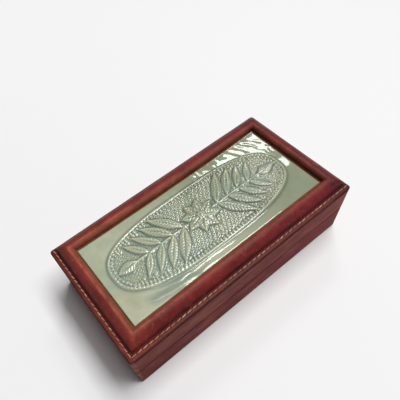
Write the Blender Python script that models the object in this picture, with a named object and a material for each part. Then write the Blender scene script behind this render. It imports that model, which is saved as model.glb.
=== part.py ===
"""A stitched leather box with a glazed relief tile let into its lid.

The lid is hinged along the back on two small brass butt hinges. Its top is a padded frame: four
wooden mouldings under one piece of leather, whose flat rim is sewn to a welt along the edge.
Lengths are in metres, +Z is up, and the origin is on the table under the middle of the box.
The front of the box faces -Y and the hinges are along +Y.
"""

import math

import bmesh
import bpy
from mathutils import Vector

MM = 0.001

# Overall sizes of the box
TOP_LENGTH = 250.0 * MM
TOP_WIDTH = 127.4 * MM
SEAM_HEIGHT = 31.2 * MM
RIM_HEIGHT = 61.0 * MM
CLEARANCE = 0.3 * MM
LEATHER = 1.2 * MM
WALL = 6.0 * MM

# The sewn rim and the side bands
RIM_OVERHANG = 0.2 * MM
WELT = 1.0 * MM
RIM_CORNER = 2.6 * MM
RIM_EDGE_ROUND = 0.35 * MM
BAND_CORNER = 2.3 * MM
BAND_EDGE_ROUND = 0.9 * MM
BAND_FOOT_GAP = 0.3 * MM

# The padded frame round the tile, measured inwards from the rim's edge and up from its foot
CREASE_INSET = 5.5 * MM
CREASE_WIDTH = 0.4 * MM
CREASE_DEPTH = 0.3 * MM
CREASE_CORNER = 1.2 * MM
RIDGE_INSET = 14.8 * MM
RIDGE_RISE = 12.5 * MM
WELL_INSET = 18.6 * MM
WELL_ROUND = 3.5 * MM
WELL_CORNER = 0.8 * MM
BACK_BOW = 1.7 * MM
SLOPE_RISE_SHARE = 0.75
SLOPE_RUN_SHARE = 0.45

# Wooden body
PANEL = 5.7 * MM
BOTTOM_PANEL = 5.0 * MM
BOTTOM_COVER = 1.0 * MM

# Lining of stiff card under cloth
LINING = 1.5 * MM
LINING_DROP = 0.15 * MM

# Tile, on a thin wooden bed that fills the rest of the well
TILE_RISE = 8.4 * MM
TILE_THICKNESS = 5.5 * MM
TILE_GAP_LEFT = 0.8 * MM
TILE_GAP_RIGHT = 2.1 * MM
TILE_GAP_FRONT = 0.9 * MM
TILE_GAP_BACK = 1.5 * MM
TILE_EDGE_ROUND = 1.1 * MM
TILE_CORNER = 1.0 * MM

# Relief on the tile: two leafy sprays that meet at a rosette on a raised oval
OVAL_MARGIN = 8.5 * MM
OVAL_RISE = 0.9 * MM
OVAL_SLOPE = 2.6 * MM
OVAL_POWER = 2.7
OVAL_EDGE_SHARE = 0.35
RELIEF_ROOT = 1.2 * MM
ROSETTE_RADIUS = 19.0 * MM
ROSETTE_PETALS = 8
PETAL_WIDTH = 12.0 * MM
PETAL_RISE = 2.7 * MM
LEAF_MARGIN = 5.0 * MM
LEAF_WIDTH = 11.5 * MM
LEAF_RISE = 2.5 * MM
LEAF_EDGE_RISE = 1.3 * MM
LEAF_TIP_WIDTH = 1.0 * MM
LEAF_TIP_RISE = 0.12 * MM
LEAF_SWELL_POWER = 0.8
LEAF_PAIRS = 4
LEAF_ANGLE = math.radians(52.0)
LEAF_SHRINK_SHARE = 0.11
TIP_LEAF_LENGTH = 22.0 * MM

# Hinges
HINGE_END_INSET = 47.0 * MM
HINGE_LENGTH = 30.0 * MM
HINGE_LEAF = 1.2 * MM
HINGE_LEAF_DEPTH = 7.0 * MM
KNUCKLE_RADIUS = 2.2 * MM
KNUCKLE_SHARES = (0.3, 0.4, 0.3)
PIN_RADIUS = 1.0 * MM
PIN_HEAD_RADIUS = 1.7 * MM
PIN_HEAD = 0.6 * MM

# The stop that holds the open lid: a lug on the lid's knuckle meets a bar on the tray's leaf
STOP_ANGLE = math.radians(75.0)
STOP_LUG_LENGTH = 1.8 * MM
STOP_LUG_THICKNESS = 1.4 * MM
STOP_LUG_WIDTH = 6.0 * MM
STOP_BAR_HEIGHT = 1.6 * MM
STOP_BAR_DEPTH = 1.2 * MM
STOP_PLAY = math.radians(2.0)

# How finely the round forms are drawn
CORNER_STEPS = 4
SIDE_STEPS = 8
SLOPE_STEPS = 6
ROUND_STEPS = 4
OVAL_POINTS = 40
LEAF_STEPS = 6
KNUCKLE_STEPS = 24

# Sizes that follow from the ones above
BAND_HALF_X = TOP_LENGTH / 2 - RIM_OVERHANG
BAND_HALF_Y = TOP_WIDTH / 2 - RIM_OVERHANG
WOOD_HALF_X = BAND_HALF_X - LEATHER - CLEARANCE
WOOD_HALF_Y = BAND_HALF_Y - LEATHER - CLEARANCE
WOOD_CORNER = BAND_CORNER - LEATHER - CLEARANCE
LINING_HALF_X = WOOD_HALF_X - WALL - CLEARANCE
LINING_HALF_Y = WOOD_HALF_Y - WALL - CLEARANCE

BASE_TOP = SEAM_HEIGHT - CLEARANCE / 2
LID_BOTTOM = SEAM_HEIGHT + CLEARANCE / 2
BOTTOM_PANEL_FOOT = BOTTOM_COVER + CLEARANCE
BOTTOM_PANEL_TOP = BOTTOM_PANEL_FOOT + BOTTOM_PANEL
BASE_WALL_TOP = BASE_TOP - LEATHER - CLEARANCE
FLOOR_PAD_FOOT = BOTTOM_PANEL_TOP + CLEARANCE
FLOOR_PAD_TOP = FLOOR_PAD_FOOT + LINING

LID_PANEL_TOP = RIM_HEIGHT - CLEARANCE
LID_PANEL_FOOT = LID_PANEL_TOP - PANEL
LID_WALL_FOOT = LID_BOTTOM + LEATHER + CLEARANCE
LID_WALL_TOP = LID_PANEL_FOOT - CLEARANCE
LID_LINING_TOP = LID_PANEL_FOOT - CLEARANCE
LID_LINING_FOOT = LID_LINING_TOP - LINING

RIM_UNDERSIDE = RIM_HEIGHT + WELT + CLEARANCE
RIM_TOP = RIM_UNDERSIDE + LEATHER
RIDGE_HEIGHT = RIM_HEIGHT + RIDGE_RISE
TILE_TOP = RIM_HEIGHT + TILE_RISE
TILE_FOOT = TILE_TOP - TILE_THICKNESS
SLOPE_FOOT_INSET = CREASE_INSET + CREASE_WIDTH / 2
SLOPE_FOOT = RIM_TOP - CREASE_DEPTH

HINGE_AXIS_Y = BAND_HALF_Y + CLEARANCE + KNUCKLE_RADIUS
HINGE_PLACE = TOP_LENGTH / 2 - HINGE_END_INSET
BORE_RADIUS = PIN_RADIUS + CLEARANCE


def clear_scene():
    for thing in list(bpy.data.objects):
        bpy.data.objects.remove(thing, do_unlink=True)


def make_material(name, colour, roughness, metallic=0.0):
    material = bpy.data.materials.new(name)
    material.use_nodes = True
    shader = material.node_tree.nodes["Principled BSDF"]
    shader.inputs["Base Color"].default_value = (*colour, 1.0)
    shader.inputs["Roughness"].default_value = roughness
    shader.inputs["Metallic"].default_value = metallic
    return material


def add_piece(name, bm, material, parent=None, smooth_angle=None):
    """Turns a bmesh into a named object whose faces point outwards."""
    bmesh.ops.recalc_face_normals(bm, faces=bm.faces[:])
    mesh = bpy.data.meshes.new(name)
    bm.to_mesh(mesh)
    bm.free()
    mesh.materials.append(material)
    if smooth_angle is not None:
        mesh.shade_smooth()
        mesh.set_sharp_from_angle(angle=smooth_angle)
    piece = bpy.data.objects.new(name, mesh)
    bpy.context.collection.objects.link(piece)
    if parent is not None:
        piece.parent = parent
        piece.matrix_parent_inverse = parent.matrix_world.inverted()
    return piece


def hide_cutter(cutter):
    cutter.hide_render = True
    cutter.display_type = "WIRE"
    return cutter


def apply_boolean(piece, cutter, operation):
    change = piece.modifiers.new(cutter.name, "BOOLEAN")
    change.operation = operation
    change.solver = "EXACT"
    change.object = cutter


def rounded_loop(half_x, half_y, radius, height, side_steps=1, bow=0.0):
    """A rounded rectangle, anticlockwise. Its back side bows inwards by bow at mid-length."""
    points = []
    corners = ((1, 1), (-1, 1), (-1, -1), (1, -1))
    for number, (side_x, side_y) in enumerate(corners):
        centre_x = side_x * (half_x - radius)
        centre_y = side_y * (half_y - radius)
        for step in range(CORNER_STEPS + 1):
            angle = math.pi / 2 * (number + step / CORNER_STEPS)
            x = centre_x + radius * math.cos(angle)
            y = centre_y + radius * math.sin(angle)
            points.append(Vector((x, y, height)))
        if side_x == side_y:
            for step in range(1, side_steps):
                x = centre_x * (1 - 2 * step / side_steps)
                points.append(Vector((x, side_y * half_y, height)))
    for point in points:
        if point.y > 0:
            point.y -= bow * max(0.0, 1 - (point.x / half_x) ** 2)
    return points


def loft(loops, closed):
    """Joins loops of equal length with quads. A closed loft runs back to its first loop."""
    bm = bmesh.new()
    rings = [[bm.verts.new(point) for point in loop] for loop in loops]
    pairs = list(zip(rings, rings[1:]))
    if closed:
        pairs.append((rings[-1], rings[0]))
    else:
        bm.faces.new(list(reversed(rings[0])))
        bm.faces.new(rings[-1])
    for lower, upper in pairs:
        for index in range(len(lower)):
            after = (index + 1) % len(lower)
            bm.faces.new((lower[index], lower[after], upper[after], upper[index]))
    return bm


def plate(half_x, half_y, radius, foot, top):
    loops = [rounded_loop(half_x, half_y, radius, foot), rounded_loop(half_x, half_y, radius, top)]
    return loft(loops, closed=False)


def rail_outline(half_x, half_y, thickness, radius):
    """Plan of the mitred front rail of a rounded rectangle, with half a clearance at each mitre."""
    shift = CLEARANCE / 2 * math.sqrt(2)
    right = [Vector((half_x - thickness - shift, thickness - half_y))]
    for step in range(CORNER_STEPS // 2 + 1):
        angle = -math.pi / 4 - math.pi / 4 * step / (CORNER_STEPS // 2)
        x = half_x - radius + radius * math.cos(angle) - shift
        right.append(Vector((x, radius - half_y + radius * math.sin(angle))))
    left = [Vector((-point.x, point.y)) for point in reversed(right)]
    return right + left


def turned(point, side):
    """A point of the front rail, carried round to the named side."""
    if side == "front":
        return point.x, point.y
    if side == "back":
        return -point.x, -point.y
    if side == "right":
        return -point.y, point.x
    return point.y, -point.x


def rail(side, half_x, half_y, thickness, radius, foot, top):
    """One mitred board of a four-sided body."""
    if side in ("left", "right"):
        half_x, half_y = half_y, half_x
    outline = rail_outline(half_x, half_y, thickness, radius)
    loops = [[Vector((*turned(point, side), z)) for point in outline] for z in (foot, top)]
    return loft(loops, closed=False)


def frame_profile(depth):
    """The frame's surface from crease to well, in inset and height, sunk by depth."""
    start = Vector((SLOPE_FOOT_INSET, SLOPE_FOOT))
    rise = RIDGE_HEIGHT - SLOPE_FOOT
    run = RIDGE_INSET - SLOPE_FOOT_INSET
    handles = (
        start,
        start + Vector((0.0, rise * SLOPE_RISE_SHARE)),
        Vector((RIDGE_INSET - run * SLOPE_RUN_SHARE, RIDGE_HEIGHT)),
        Vector((RIDGE_INSET, RIDGE_HEIGHT)),
    )
    points = []
    for step in range(SLOPE_STEPS + 1):
        t = step / SLOPE_STEPS
        weights = ((1 - t) ** 3, 3 * (1 - t) ** 2 * t, 3 * (1 - t) * t**2, t**3)
        slopes = (-((1 - t) ** 2), (1 - t) * (1 - 3 * t), t * (2 - 3 * t), t**2)
        place = sum((h * w for h, w in zip(handles, weights)), Vector((0, 0)))
        along = sum((h * s for h, s in zip(handles, slopes)), Vector((0, 0))).normalized()
        points.append(place + Vector((along.y, -along.x)) * depth)
    centre = Vector((WELL_INSET - WELL_ROUND, RIDGE_HEIGHT - WELL_ROUND))
    for step in range(ROUND_STEPS + 1):
        angle = math.pi / 2 * (1 - step / ROUND_STEPS)
        reach = Vector((math.cos(angle), math.sin(angle))) * (WELL_ROUND - depth)
        points.append(centre + reach)
    return points


def inset_share(inset):
    """How much of the bow a line of the frame has: none at the crease, all at the well."""
    share = (inset - CREASE_INSET) / (WELL_INSET - CREASE_INSET)
    return min(1.0, max(0.0, share))


def corner_at(inset):
    """The frame's corners grow sharper from the rim to the well."""
    if inset <= CREASE_INSET:
        return RIM_CORNER + (CREASE_CORNER - RIM_CORNER) * inset / CREASE_INSET
    return CREASE_CORNER + (WELL_CORNER - CREASE_CORNER) * inset_share(inset)


def frame_loop(inset, height):
    half_x = TOP_LENGTH / 2 - inset
    half_y = TOP_WIDTH / 2 - inset
    bow = BACK_BOW * inset_share(inset)
    return rounded_loop(half_x, half_y, corner_at(inset), height, SIDE_STEPS, bow)


def make_base(materials):
    """The tray: bottom board, four mitred boards on it, one leather band and the lining."""
    wood, leather, cloth = materials["wood"], materials["leather"], materials["lining"]
    cover_half_x = BAND_HALF_X - LEATHER - 2 * CLEARANCE
    cover_half_y = BAND_HALF_Y - LEATHER - 2 * CLEARANCE
    bm = plate(cover_half_x, cover_half_y, WOOD_CORNER, 0.0, BOTTOM_COVER)
    add_piece("bottom_cover", bm, materials["under_leather"])
    bm = plate(WOOD_HALF_X, WOOD_HALF_Y, WOOD_CORNER, BOTTOM_PANEL_FOOT, BOTTOM_PANEL_TOP)
    add_piece("bottom_panel", bm, wood)
    for side in ("front", "back", "left", "right"):
        foot = BOTTOM_PANEL_TOP + CLEARANCE
        bm = rail(side, WOOD_HALF_X, WOOD_HALF_Y, WALL, WOOD_CORNER, foot, BASE_WALL_TOP)
        add_piece(f"base_wall_{side}", bm, wood)
        foot = FLOOR_PAD_TOP + CLEARANCE
        top = BASE_TOP - LINING_DROP
        bm = rail(side, LINING_HALF_X, LINING_HALF_Y, LINING, 0.0, foot, top)
        add_piece(f"base_lining_{side}", bm, cloth)
    bm = plate(LINING_HALF_X, LINING_HALF_Y, CLEARANCE, FLOOR_PAD_FOOT, FLOOR_PAD_TOP)
    add_piece("floor_pad", bm, cloth)
    bm = side_band(BAND_FOOT_GAP, BASE_TOP, turned_in_at_top=True)
    return add_piece("base_side_band", bm, leather, smooth_angle=math.radians(40))


def side_band(foot, top, turned_in_at_top):
    """A leather band round the boards, folded in over their edge at the seam."""
    reach = LEATHER + CLEARANCE + WALL
    section = [(0.0, foot + BAND_EDGE_ROUND), (BAND_EDGE_ROUND, foot), (LEATHER, foot)]
    section += [(LEATHER, top - LEATHER), (reach, top - LEATHER), (reach, top)]
    for step in range(ROUND_STEPS + 1):
        angle = math.pi / 2 * step / ROUND_STEPS
        inset = BAND_EDGE_ROUND * (1 - math.sin(angle))
        section.append((inset, top - BAND_EDGE_ROUND * (1 - math.cos(angle))))
    if not turned_in_at_top:
        section = [(inset, foot + top - height) for inset, height in section]
    loops = []
    for inset, height in section:
        radius = max(BAND_CORNER - inset, CLEARANCE)
        loops.append(rounded_loop(BAND_HALF_X - inset, BAND_HALF_Y - inset, radius, height))
    return loft(loops, closed=True)


def make_lid_body(materials, lid):
    """Boards, top board, side band, welt and lining of the lid."""
    wood, leather, cloth = materials["wood"], materials["leather"], materials["lining"]
    for side in ("front", "back", "left", "right"):
        bm = rail(side, WOOD_HALF_X, WOOD_HALF_Y, WALL, WOOD_CORNER, LID_WALL_FOOT, LID_WALL_TOP)
        add_piece(f"lid_wall_{side}", bm, wood, lid)
        foot = LID_BOTTOM + LINING_DROP
        top = LID_LINING_FOOT - CLEARANCE
        bm = rail(side, LINING_HALF_X, LINING_HALF_Y, LINING, 0.0, foot, top)
        add_piece(f"lid_lining_{side}", bm, cloth, lid)
    bm = plate(LINING_HALF_X, LINING_HALF_Y, CLEARANCE, LID_LINING_FOOT, LID_LINING_TOP)
    add_piece("lid_lining_top", bm, cloth, lid)
    bm = plate(WOOD_HALF_X, WOOD_HALF_Y, WOOD_CORNER, LID_PANEL_FOOT, LID_PANEL_TOP)
    add_piece("lid_panel", bm, wood, lid)
    welt_inner = SLOPE_FOOT_INSET + LEATHER
    section = ((0.0, RIM_HEIGHT), (welt_inner, RIM_HEIGHT))
    section += ((welt_inner, RIM_HEIGHT + WELT), (0.0, RIM_HEIGHT + WELT))
    bm = loft([frame_loop(inset, height) for inset, height in section], closed=True)
    add_piece("lid_welt", bm, leather, lid)
    bm = side_band(LID_BOTTOM, LID_PANEL_TOP, turned_in_at_top=False)
    return add_piece("lid_side_band", bm, leather, lid, smooth_angle=math.radians(40))


def make_top_cover(materials, lid):
    """One piece of leather: the sewn rim, the padded frame over its mouldings, and the well."""
    rim = RIM_EDGE_ROUND
    section = [(rim, RIM_UNDERSIDE), (0.0, RIM_UNDERSIDE + rim), (0.0, RIM_TOP - rim)]
    section += [(rim, RIM_TOP), (CREASE_INSET - CREASE_WIDTH, RIM_TOP)]
    section += [tuple(point) for point in frame_profile(0.0)]
    section += [(WELL_INSET, RIM_HEIGHT), (WELL_INSET - LEATHER, RIM_HEIGHT)]
    section += [tuple(point) for point in reversed(frame_profile(LEATHER))]
    section.append((SLOPE_FOOT_INSET + LEATHER, RIM_UNDERSIDE))
    bm = loft([frame_loop(inset, height) for inset, height in section], closed=True)
    add_piece("top_cover", bm, materials["leather"], lid, smooth_angle=math.radians(50))


def make_mouldings(materials, lid):
    """Four mitred wooden mouldings that give the padded frame its shape."""
    depth = LEATHER + CLEARANCE
    curve = frame_profile(depth)
    section = [(SLOPE_FOOT_INSET + depth, RIM_HEIGHT)] + [tuple(point) for point in curve]
    section.append((WELL_INSET - depth, RIM_HEIGHT))
    shift = CLEARANCE / 2 * math.sqrt(2)
    for side in ("front", "back", "left", "right"):
        along, across = TOP_LENGTH / 2, TOP_WIDTH / 2
        if side in ("left", "right"):
            along, across = across, along
        steps = SIDE_STEPS if side == "back" else 1
        loops = []
        for step in range(steps + 1):
            share = 2 * step / steps - 1
            bow = BACK_BOW * (1 - share**2) if side == "back" else 0.0
            loop = []
            for inset, height in section:
                x = share * (along - inset - shift)
                y = inset - across + bow * inset_share(inset)
                loop.append(Vector((*turned(Vector((x, y)), side), height)))
            loops.append(loop)
        bm = loft(loops, closed=False)
        add_piece(f"moulding_{side}", bm, materials["wood"], lid, math.radians(40))


def leaf(stalk, turn, length, width, rise):
    """A pointed leaf with a raised midrib, its foot sunk into the tile. It starts at its stalk."""
    foot = TILE_TOP - RELIEF_ROOT
    edge = TILE_TOP + LEAF_EDGE_RISE
    forward = Vector((math.cos(turn), math.sin(turn)))
    sideways = Vector((-forward.y, forward.x))
    loops = []
    for step in range(LEAF_STEPS + 1):
        share = step / LEAF_STEPS
        swell = math.sin(math.pi * share**LEAF_SWELL_POWER)
        half = max(LEAF_TIP_WIDTH, width * swell) / 2
        crown = edge + max(LEAF_TIP_RISE, (rise - LEAF_EDGE_RISE) * swell)
        section = ((-half, foot), (half, foot), (half, edge), (0.0, crown), (-half, edge))
        loop = []
        for across, height in section:
            place = stalk + forward * length * share + sideways * across
            loop.append(Vector((place.x, place.y, height)))
        loops.append(loop)
    return loft(loops, closed=False)


def oval(centre, half_x, half_y, height):
    """A softly squared oval."""
    loop = []
    for number in range(OVAL_POINTS):
        angle = 2 * math.pi * number / OVAL_POINTS
        across, along = math.sin(angle), math.cos(angle)
        x = math.copysign(abs(along) ** (2 / OVAL_POWER), along) * half_x
        y = math.copysign(abs(across) ** (2 / OVAL_POWER), across) * half_y
        loop.append(Vector((centre.x + x, centre.y + y, height)))
    return loop


def relief_forms(centre, half_x, half_y):
    """The raised forms of the tile: the oval, the rosette and the leaves of both sprays."""
    oval_x, oval_y = half_x - OVAL_MARGIN, half_y - OVAL_MARGIN
    loops = [
        oval(centre, oval_x, oval_y, TILE_TOP - RELIEF_ROOT),
        oval(centre, oval_x, oval_y, TILE_TOP + OVAL_RISE * OVAL_EDGE_SHARE),
        oval(centre, oval_x - OVAL_SLOPE, oval_y - OVAL_SLOPE, TILE_TOP + OVAL_RISE),
    ]
    forms = [loft(loops, closed=False)]
    for number in range(ROSETTE_PETALS):
        turn = 2 * math.pi * (number + 0.5) / ROSETTE_PETALS
        forms.append(leaf(centre.xy, turn, ROSETTE_RADIUS, PETAL_WIDTH, PETAL_RISE))
    first = ROSETTE_RADIUS
    spacing = (oval_x - LEAF_MARGIN - TIP_LEAF_LENGTH - first) / LEAF_PAIRS
    longest = (oval_y - LEAF_MARGIN) / math.sin(LEAF_ANGLE)
    for way in (1, -1):
        for pair in range(LEAF_PAIRS):
            size = 1 - LEAF_SHRINK_SHARE * pair
            stalk = centre.xy + Vector((way * (first + spacing * pair), 0.0))
            for side in (1, -1):
                turn = side * (LEAF_ANGLE if way > 0 else math.pi - LEAF_ANGLE)
                forms.append(leaf(stalk, turn, longest * size, LEAF_WIDTH * size, LEAF_RISE))
        stalk = centre.xy + Vector((way * (first + spacing * LEAF_PAIRS), 0.0))
        turn = 0.0 if way > 0 else math.pi
        forms.append(leaf(stalk, turn, TIP_LEAF_LENGTH, LEAF_WIDTH, LEAF_RISE))
    return forms


def make_tile(materials, lid):
    """The glazed slab in its well, on its bed. Its back edge is slightly hollow, as the well's is."""
    left = TOP_LENGTH / 2 - WELL_INSET - TILE_GAP_LEFT
    right = TOP_LENGTH / 2 - WELL_INSET - TILE_GAP_RIGHT
    front = TOP_WIDTH / 2 - WELL_INSET - TILE_GAP_FRONT
    back = TOP_WIDTH / 2 - WELL_INSET - TILE_GAP_BACK
    centre = Vector(((right - left) / 2, (back - front) / 2, 0.0))
    half_x, half_y = (left + right) / 2, (front + back) / 2

    def slab(sections):
        loops = []
        for shrink, height in sections:
            sizes = (half_x - shrink, half_y - shrink, TILE_CORNER, height)
            loops.append([point + centre for point in rounded_loop(*sizes, SIDE_STEPS, BACK_BOW)])
        return loft(loops, closed=False)

    eased = TILE_EDGE_ROUND * (1 - math.sqrt(0.5))
    edges = [(0.0, TILE_FOOT), (0.0, TILE_TOP - TILE_EDGE_ROUND)]
    edges += [(eased, TILE_TOP - eased), (TILE_EDGE_ROUND, TILE_TOP)]
    tile = add_piece("ceramic_tile", slab(edges), materials["glaze"], lid)
    for number, bm in enumerate(relief_forms(centre, half_x, half_y)):
        form = hide_cutter(add_piece(f"relief_{number}", bm, materials["glaze"], lid))
        apply_boolean(tile, form, "UNION")
    bed = [(0.0, RIM_HEIGHT), (0.0, TILE_FOOT - CLEARANCE)]
    add_piece("tile_bed", slab(bed), materials["wood"], lid)


def hinge_leaf_section(upper):
    """Section of a leaf with its knuckle, in y and z: one round and one flat tongue."""
    near, far = CLEARANCE / 2, CLEARANCE / 2 + HINGE_LEAF
    reach = KNUCKLE_RADIUS + CLEARANCE + HINGE_LEAF_DEPTH
    start = math.pi + math.asin(near / KNUCKLE_RADIUS)
    end = -math.pi + math.asin(far / KNUCKLE_RADIUS)
    points = []
    for step in range(KNUCKLE_STEPS + 1):
        angle = start + (end - start) * step / KNUCKLE_STEPS
        points.append((KNUCKLE_RADIUS * math.cos(angle), KNUCKLE_RADIUS * math.sin(angle)))
    points += [(-reach, -far), (-reach, -near)]
    sign = 1.0 if not upper else -1.0
    return [(HINGE_AXIS_Y + y, SEAM_HEIGHT + z * sign) for y, z in points]


def swept_along_x(section, start, end):
    loops = [[Vector((x, y, z)) for y, z in section] for x in (start, end)]
    return loft(loops, closed=False)


def box(low, high):
    section = ((low[1], low[2]), (high[1], low[2]), (high[1], high[2]), (low[1], high[2]))
    return swept_along_x(section, low[0], high[0])


def circle_on_axis(radius):
    """Points round the hinge axis, in y and z."""
    points = []
    for step in range(KNUCKLE_STEPS):
        angle = 2 * math.pi * step / KNUCKLE_STEPS
        y = HINGE_AXIS_Y + radius * math.cos(angle)
        points.append((y, SEAM_HEIGHT + radius * math.sin(angle)))
    return points


def stop_lug():
    """Section of the lug, in y and z, pointing so that it meets the bar when the lid is open."""
    bar_back = STOP_BAR_DEPTH - KNUCKLE_RADIUS
    bar_top = KNUCKLE_RADIUS + CLEARANCE
    past_down = math.atan2(-bar_back, bar_top)
    half_turn = math.asin(STOP_LUG_THICKNESS / 2 / bar_top)
    turn = -math.pi / 2 - past_down + half_turn + STOP_PLAY + STOP_ANGLE
    out = Vector((math.cos(turn), math.sin(turn)))
    side = Vector((-out.y, out.x)) * STOP_LUG_THICKNESS / 2
    near, far = out * BORE_RADIUS, out * (KNUCKLE_RADIUS + STOP_LUG_LENGTH)
    corners = (near - side, far - side, far + side, near + side)
    return [(HINGE_AXIS_Y + point.x, SEAM_HEIGHT + point.y) for point in corners]


def make_hinge(name, centre, materials, lid, bands):
    """A butt hinge: the tray's leaf has the two outer knuckles, the lid's leaf the middle one."""
    brass = materials["brass"]
    start, end = centre - HINGE_LENGTH / 2, centre + HINGE_LENGTH / 2
    first = start + HINGE_LENGTH * KNUCKLE_SHARES[0]
    second = first + HINGE_LENGTH * KNUCKLE_SHARES[1]
    room = KNUCKLE_RADIUS + CLEARANCE
    low = Vector((0.0, HINGE_AXIS_Y - room, SEAM_HEIGHT - room))
    high = Vector((0.0, HINGE_AXIS_Y + room, SEAM_HEIGHT + room))
    half_gap = CLEARANCE / 2
    gaps = {
        "base": [(first - half_gap, second + half_gap)],
        "lid": [(start - room, first + half_gap), (second - half_gap, end + room)],
    }
    bar_y = HINGE_AXIS_Y - KNUCKLE_RADIUS
    bar_low = (first - KNUCKLE_RADIUS, bar_y, low.z - STOP_BAR_HEIGHT)
    bar_high = (second + KNUCKLE_RADIUS, bar_y + STOP_BAR_DEPTH, SEAM_HEIGHT - HINGE_LEAF)
    lug_half = STOP_LUG_WIDTH / 2
    stops = {
        "base": box(bar_low, bar_high),
        "lid": swept_along_x(stop_lug(), centre - lug_half, centre + lug_half),
    }
    bm = swept_along_x(circle_on_axis(BORE_RADIUS), start - room, end + room)
    bore = hide_cutter(add_piece(f"{name}_bore", bm, brass))
    for half in ("base", "lid"):
        parent = lid if half == "lid" else None
        bm = swept_along_x(hinge_leaf_section(half == "lid"), start, end)
        piece = add_piece(f"{name}_{half}_leaf", bm, brass, parent, math.radians(40))
        stop = hide_cutter(add_piece(f"{name}_{half}_stop", stops[half], brass))
        apply_boolean(piece, stop, "UNION")
        for number, (gap_start, gap_end) in enumerate(gaps[half]):
            bm = box((gap_start, low.y, low.z), (gap_end, high.y, high.z))
            cutter = hide_cutter(add_piece(f"{name}_{half}_gap_{number}", bm, brass))
            apply_boolean(piece, cutter, "DIFFERENCE")
        apply_boolean(piece, bore, "DIFFERENCE")
    pin_end = HINGE_LENGTH / 2 + CLEARANCE
    bm = pin_body(centre - pin_end, centre + pin_end)
    add_piece(f"{name}_pin", bm, brass, smooth_angle=math.radians(40))
    notch = HINGE_LEAF + CLEARANCE / 2 + CLEARANCE
    inner_y = low.y - HINGE_LEAF_DEPTH - CLEARANCE
    for band in bands:
        bm = box(
            (start - CLEARANCE, inner_y, SEAM_HEIGHT - notch),
            (end + CLEARANCE, high.y, SEAM_HEIGHT + notch),
        )
        cutter = hide_cutter(add_piece(f"{name}_{band.name}_notch", bm, brass))
        apply_boolean(band, cutter, "DIFFERENCE")


def pin_body(start, end):
    """A plain pin with a flat rivet head at each end."""
    loops = []
    for radius, x in (
        (PIN_HEAD_RADIUS, start - PIN_HEAD),
        (PIN_HEAD_RADIUS, start),
        (PIN_RADIUS, start),
        (PIN_RADIUS, end),
        (PIN_HEAD_RADIUS, end),
        (PIN_HEAD_RADIUS, end + PIN_HEAD),
    ):
        loops.append([Vector((x, y, z)) for y, z in circle_on_axis(radius)])
    return loft(loops, closed=False)


def make_box():
    clear_scene()
    materials = {
        "leather": make_material("red_leather", (0.16, 0.028, 0.022), 0.5),
        "under_leather": make_material("brown_leather", (0.05, 0.02, 0.014), 0.7),
        "wood": make_material("limewood", (0.52, 0.36, 0.2), 0.6),
        "lining": make_material("lining_cloth", (0.33, 0.2, 0.1), 0.9),
        "glaze": make_material("celadon_glaze", (0.43, 0.47, 0.34), 0.12),
        "brass": make_material("brass", (0.62, 0.42, 0.16), 0.35, 1.0),
    }
    lid = bpy.data.objects.new("lid_hinge_axis", None)
    lid.location = (0.0, HINGE_AXIS_Y, SEAM_HEIGHT)
    bpy.context.collection.objects.link(lid)
    bpy.context.view_layer.update()
    bands = (make_base(materials), make_lid_body(materials, lid))
    make_mouldings(materials, lid)
    make_top_cover(materials, lid)
    make_tile(materials, lid)
    make_hinge("left_hinge", -HINGE_PLACE, materials, lid, bands)
    make_hinge("right_hinge", HINGE_PLACE, materials, lid, bands)


make_box()
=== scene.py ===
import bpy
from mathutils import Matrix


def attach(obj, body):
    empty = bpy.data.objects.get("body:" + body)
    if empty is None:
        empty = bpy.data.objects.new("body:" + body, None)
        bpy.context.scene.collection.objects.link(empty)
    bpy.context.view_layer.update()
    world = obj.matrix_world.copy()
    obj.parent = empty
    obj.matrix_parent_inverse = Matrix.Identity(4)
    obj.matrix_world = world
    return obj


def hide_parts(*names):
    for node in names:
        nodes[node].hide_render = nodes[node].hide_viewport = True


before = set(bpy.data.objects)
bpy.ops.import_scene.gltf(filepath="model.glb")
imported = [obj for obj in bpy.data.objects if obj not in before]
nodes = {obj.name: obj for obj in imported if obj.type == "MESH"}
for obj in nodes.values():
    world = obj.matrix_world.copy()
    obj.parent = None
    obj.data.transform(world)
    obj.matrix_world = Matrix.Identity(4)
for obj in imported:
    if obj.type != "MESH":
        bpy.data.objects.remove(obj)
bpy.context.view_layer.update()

import math
import random

import bmesh
import bpy
import numpy as np
from mathutils import Euler, Matrix, Vector, noise

# Lengths are given in millimetres, and MM turns them into metres.
MM = 0.001
scene = bpy.context.scene
scene.view_settings.view_transform = "Standard"

# Camera. It stands where the photograph was taken: above the front left corner, looking down on
# the lid. Its place and turn come from the box's straight edges, so its frame is off centre.
CAMERA_PLACE = Vector((-126.6, -157.2, 373.9)) * MM
CAMERA_TURN = Euler(map(math.radians, (33.122, 5.803, -37.746)))
CAMERA_SENSOR = 36.0
CAMERA_LENS = 36.638
CAMERA_SHIFT = (0.0939, 0.0487)
CAMERA_CLIP = (10.0 * MM, 20000.0 * MM)

camera_data = bpy.data.cameras.new("camera")
camera_data.sensor_width = CAMERA_SENSOR
camera_data.lens = CAMERA_LENS
camera_data.shift_x, camera_data.shift_y = CAMERA_SHIFT
camera_data.clip_start, camera_data.clip_end = CAMERA_CLIP
camera = bpy.data.objects.new("camera", camera_data)
camera.location = CAMERA_PLACE
camera.rotation_euler = CAMERA_TURN
scene.collection.objects.link(camera)
scene.camera = camera


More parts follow.
